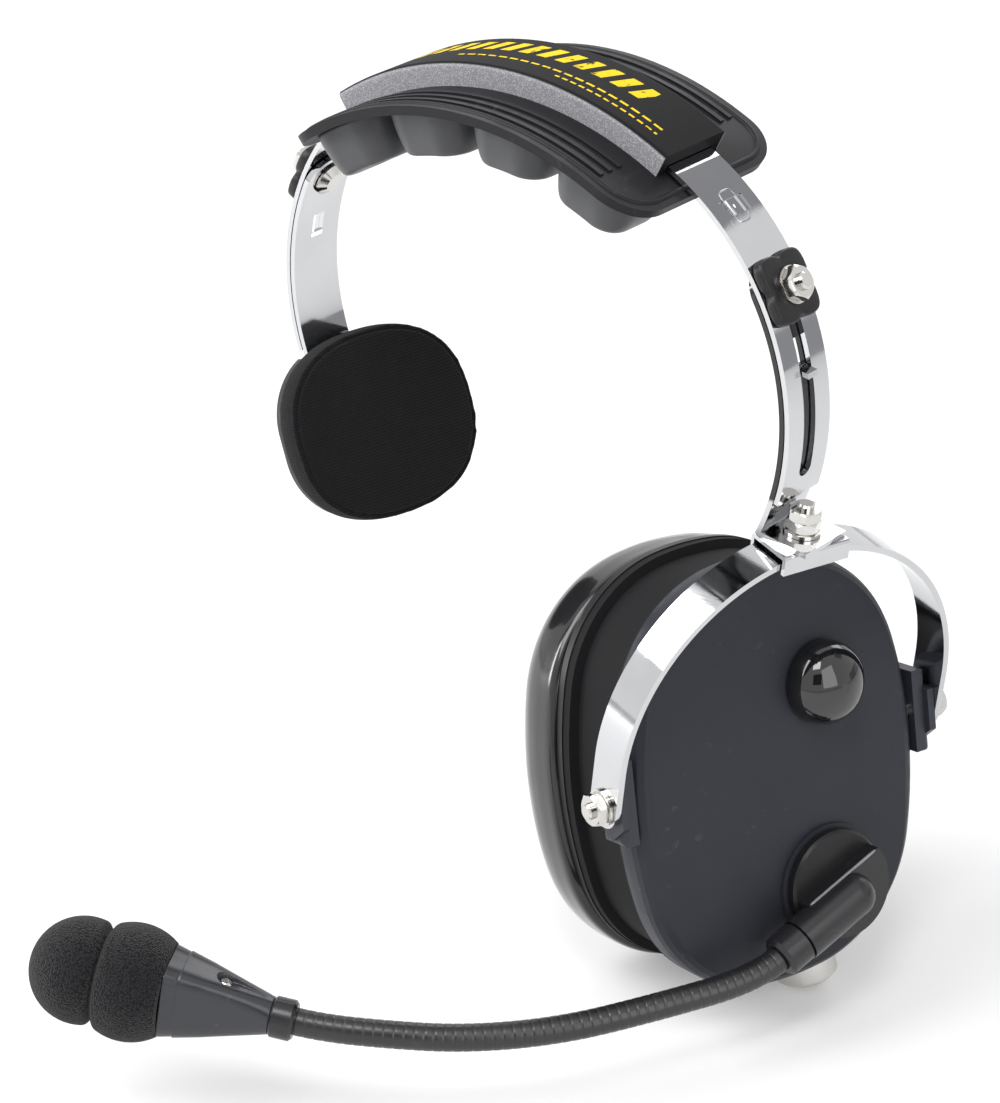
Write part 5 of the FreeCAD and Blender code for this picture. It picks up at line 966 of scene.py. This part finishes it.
# The housing is a superellipse that grows from round at the collar to boxy at the mouth. Past a
# step it is a little smaller, with a ledge along one edge, and a scoop runs up to the screw pocket.
housing_low, housing_high, collar_half, mouth_half_tall, mouth_half_deep = 4.5, 28.5, 4.3, 9.75, 8.0
screw_at, screw_floor, pocket_radius, scoop_low, scoop_wide = 15.78, 5.2, 1.95, 6.0, 2.1
step_at, step_share, ledge_high, ledge_wide, bore, bore_deep = 25.2, 0.972, 0.5, 0.06, 5.25, 7.6
at = np.linspace(housing_low, housing_high, 140)[:, None]
t = (at - housing_low) / (housing_high - housing_low)
tall = collar_half + (mouth_half_tall - collar_half) * t ** 0.95
deep = collar_half + (mouth_half_deep - collar_half) * t ** 1.5
boxy = 2 + 2.3 * np.minimum(t * 1.6, 1)
turn = full_turn(280)[None]
reach = squarish(turn, tall, deep, boxy) * np.where(at > step_at, step_share, 1.0)
ledge_turn = 2 * math.pi - math.atan2(mouth_half_deep, mouth_half_tall)
reach = reach + ledge_high * np.exp(-((turn - ledge_turn) / ledge_wide) ** 4) * (at > step_at + 0.4)
housing_x, housing_y = reach * np.cos(turn), reach * np.sin(turn)
scoop_share = np.clip((at - scoop_low) / (screw_at - scoop_low), 0, 1)
scoop_half = np.where(at < screw_at, scoop_wide * np.sqrt(scoop_share),
                      np.sqrt(np.clip(pocket_radius ** 2 - (at - screw_at) ** 2, 0, None)))
scoop_floor = np.minimum(screw_floor, collar_half + 0.1 + (at - scoop_low) * 0.12)
sunk = np.clip((scoop_half - np.abs(housing_y)) / 0.35, 0, 1) * (np.cos(turn) > 0)
housing_x = housing_x - np.clip(housing_x - scoop_floor, 0, None) * sunk
outer = grid_of(housing_x, housing_y, at)
mouth = grid_of(np.cos(turn) * bore, np.sin(turn) * bore, housing_high)
floor = mouth - (0, 0, bore_deep)
settle(skin("mic_housing_shell", np.concatenate([outer, mouth, floor]), mic_place), mic_grey, "mic",
       "shell_plastic", "mic_housing_front", "mic_housing_rear")

muff_foam = foam("muff foam", 2300.0, (0.020, 0.020, 0.022), (0.027, 0.027, 0.030), 0.12)
lobe_turn = np.linspace(0, 1, 60)[:, None]
near_radius, near_at, far_radius, far_at, mouth_at = 13.4, 36.8, 12.2, 48.1, 28.7
crease_deep, crease_wide = 1.3, 0.8
crease_at = (near_radius ** 2 - far_radius ** 2 + far_at ** 2 - near_at ** 2) / (2 * (far_at - near_at))
mouth_angle = math.acos((mouth_at - near_at) / near_radius)
crease_near = math.acos((crease_at - near_at) / near_radius)
crease_far = math.acos((crease_at - far_at) / far_radius)
near_angle = mouth_angle + (crease_near - mouth_angle) * lobe_turn
far_angle = crease_far * (1 - lobe_turn) + 0.002 * lobe_turn
near_lobe = np.hstack([np.sin(near_angle) * near_radius, near_at + np.cos(near_angle) * near_radius])
far_lobe = np.hstack([np.sin(far_angle) * far_radius, far_at + np.cos(far_angle) * far_radius])
mouth = np.array([(5.4, 29.3), (7.6, 28.9), (9.6, 28.6)])
muff_profile = np.concatenate([mouth, near_lobe[1:], far_lobe[1:]])
muff_profile[:, 0] -= crease_deep * np.exp(-((muff_profile[:, 1] - crease_at) / crease_wide) ** 2)
turn = full_turn(128)
muff_grid = grid_of(muff_profile[:, :1] * np.cos(turn), muff_profile[:, :1] * np.sin(turn),
                    muff_profile[:, 1:])
muff = settle(skin("mic_muff_foam", muff_grid, mic_place), muff_foam, "mic", "black_foam", "mic_muff")
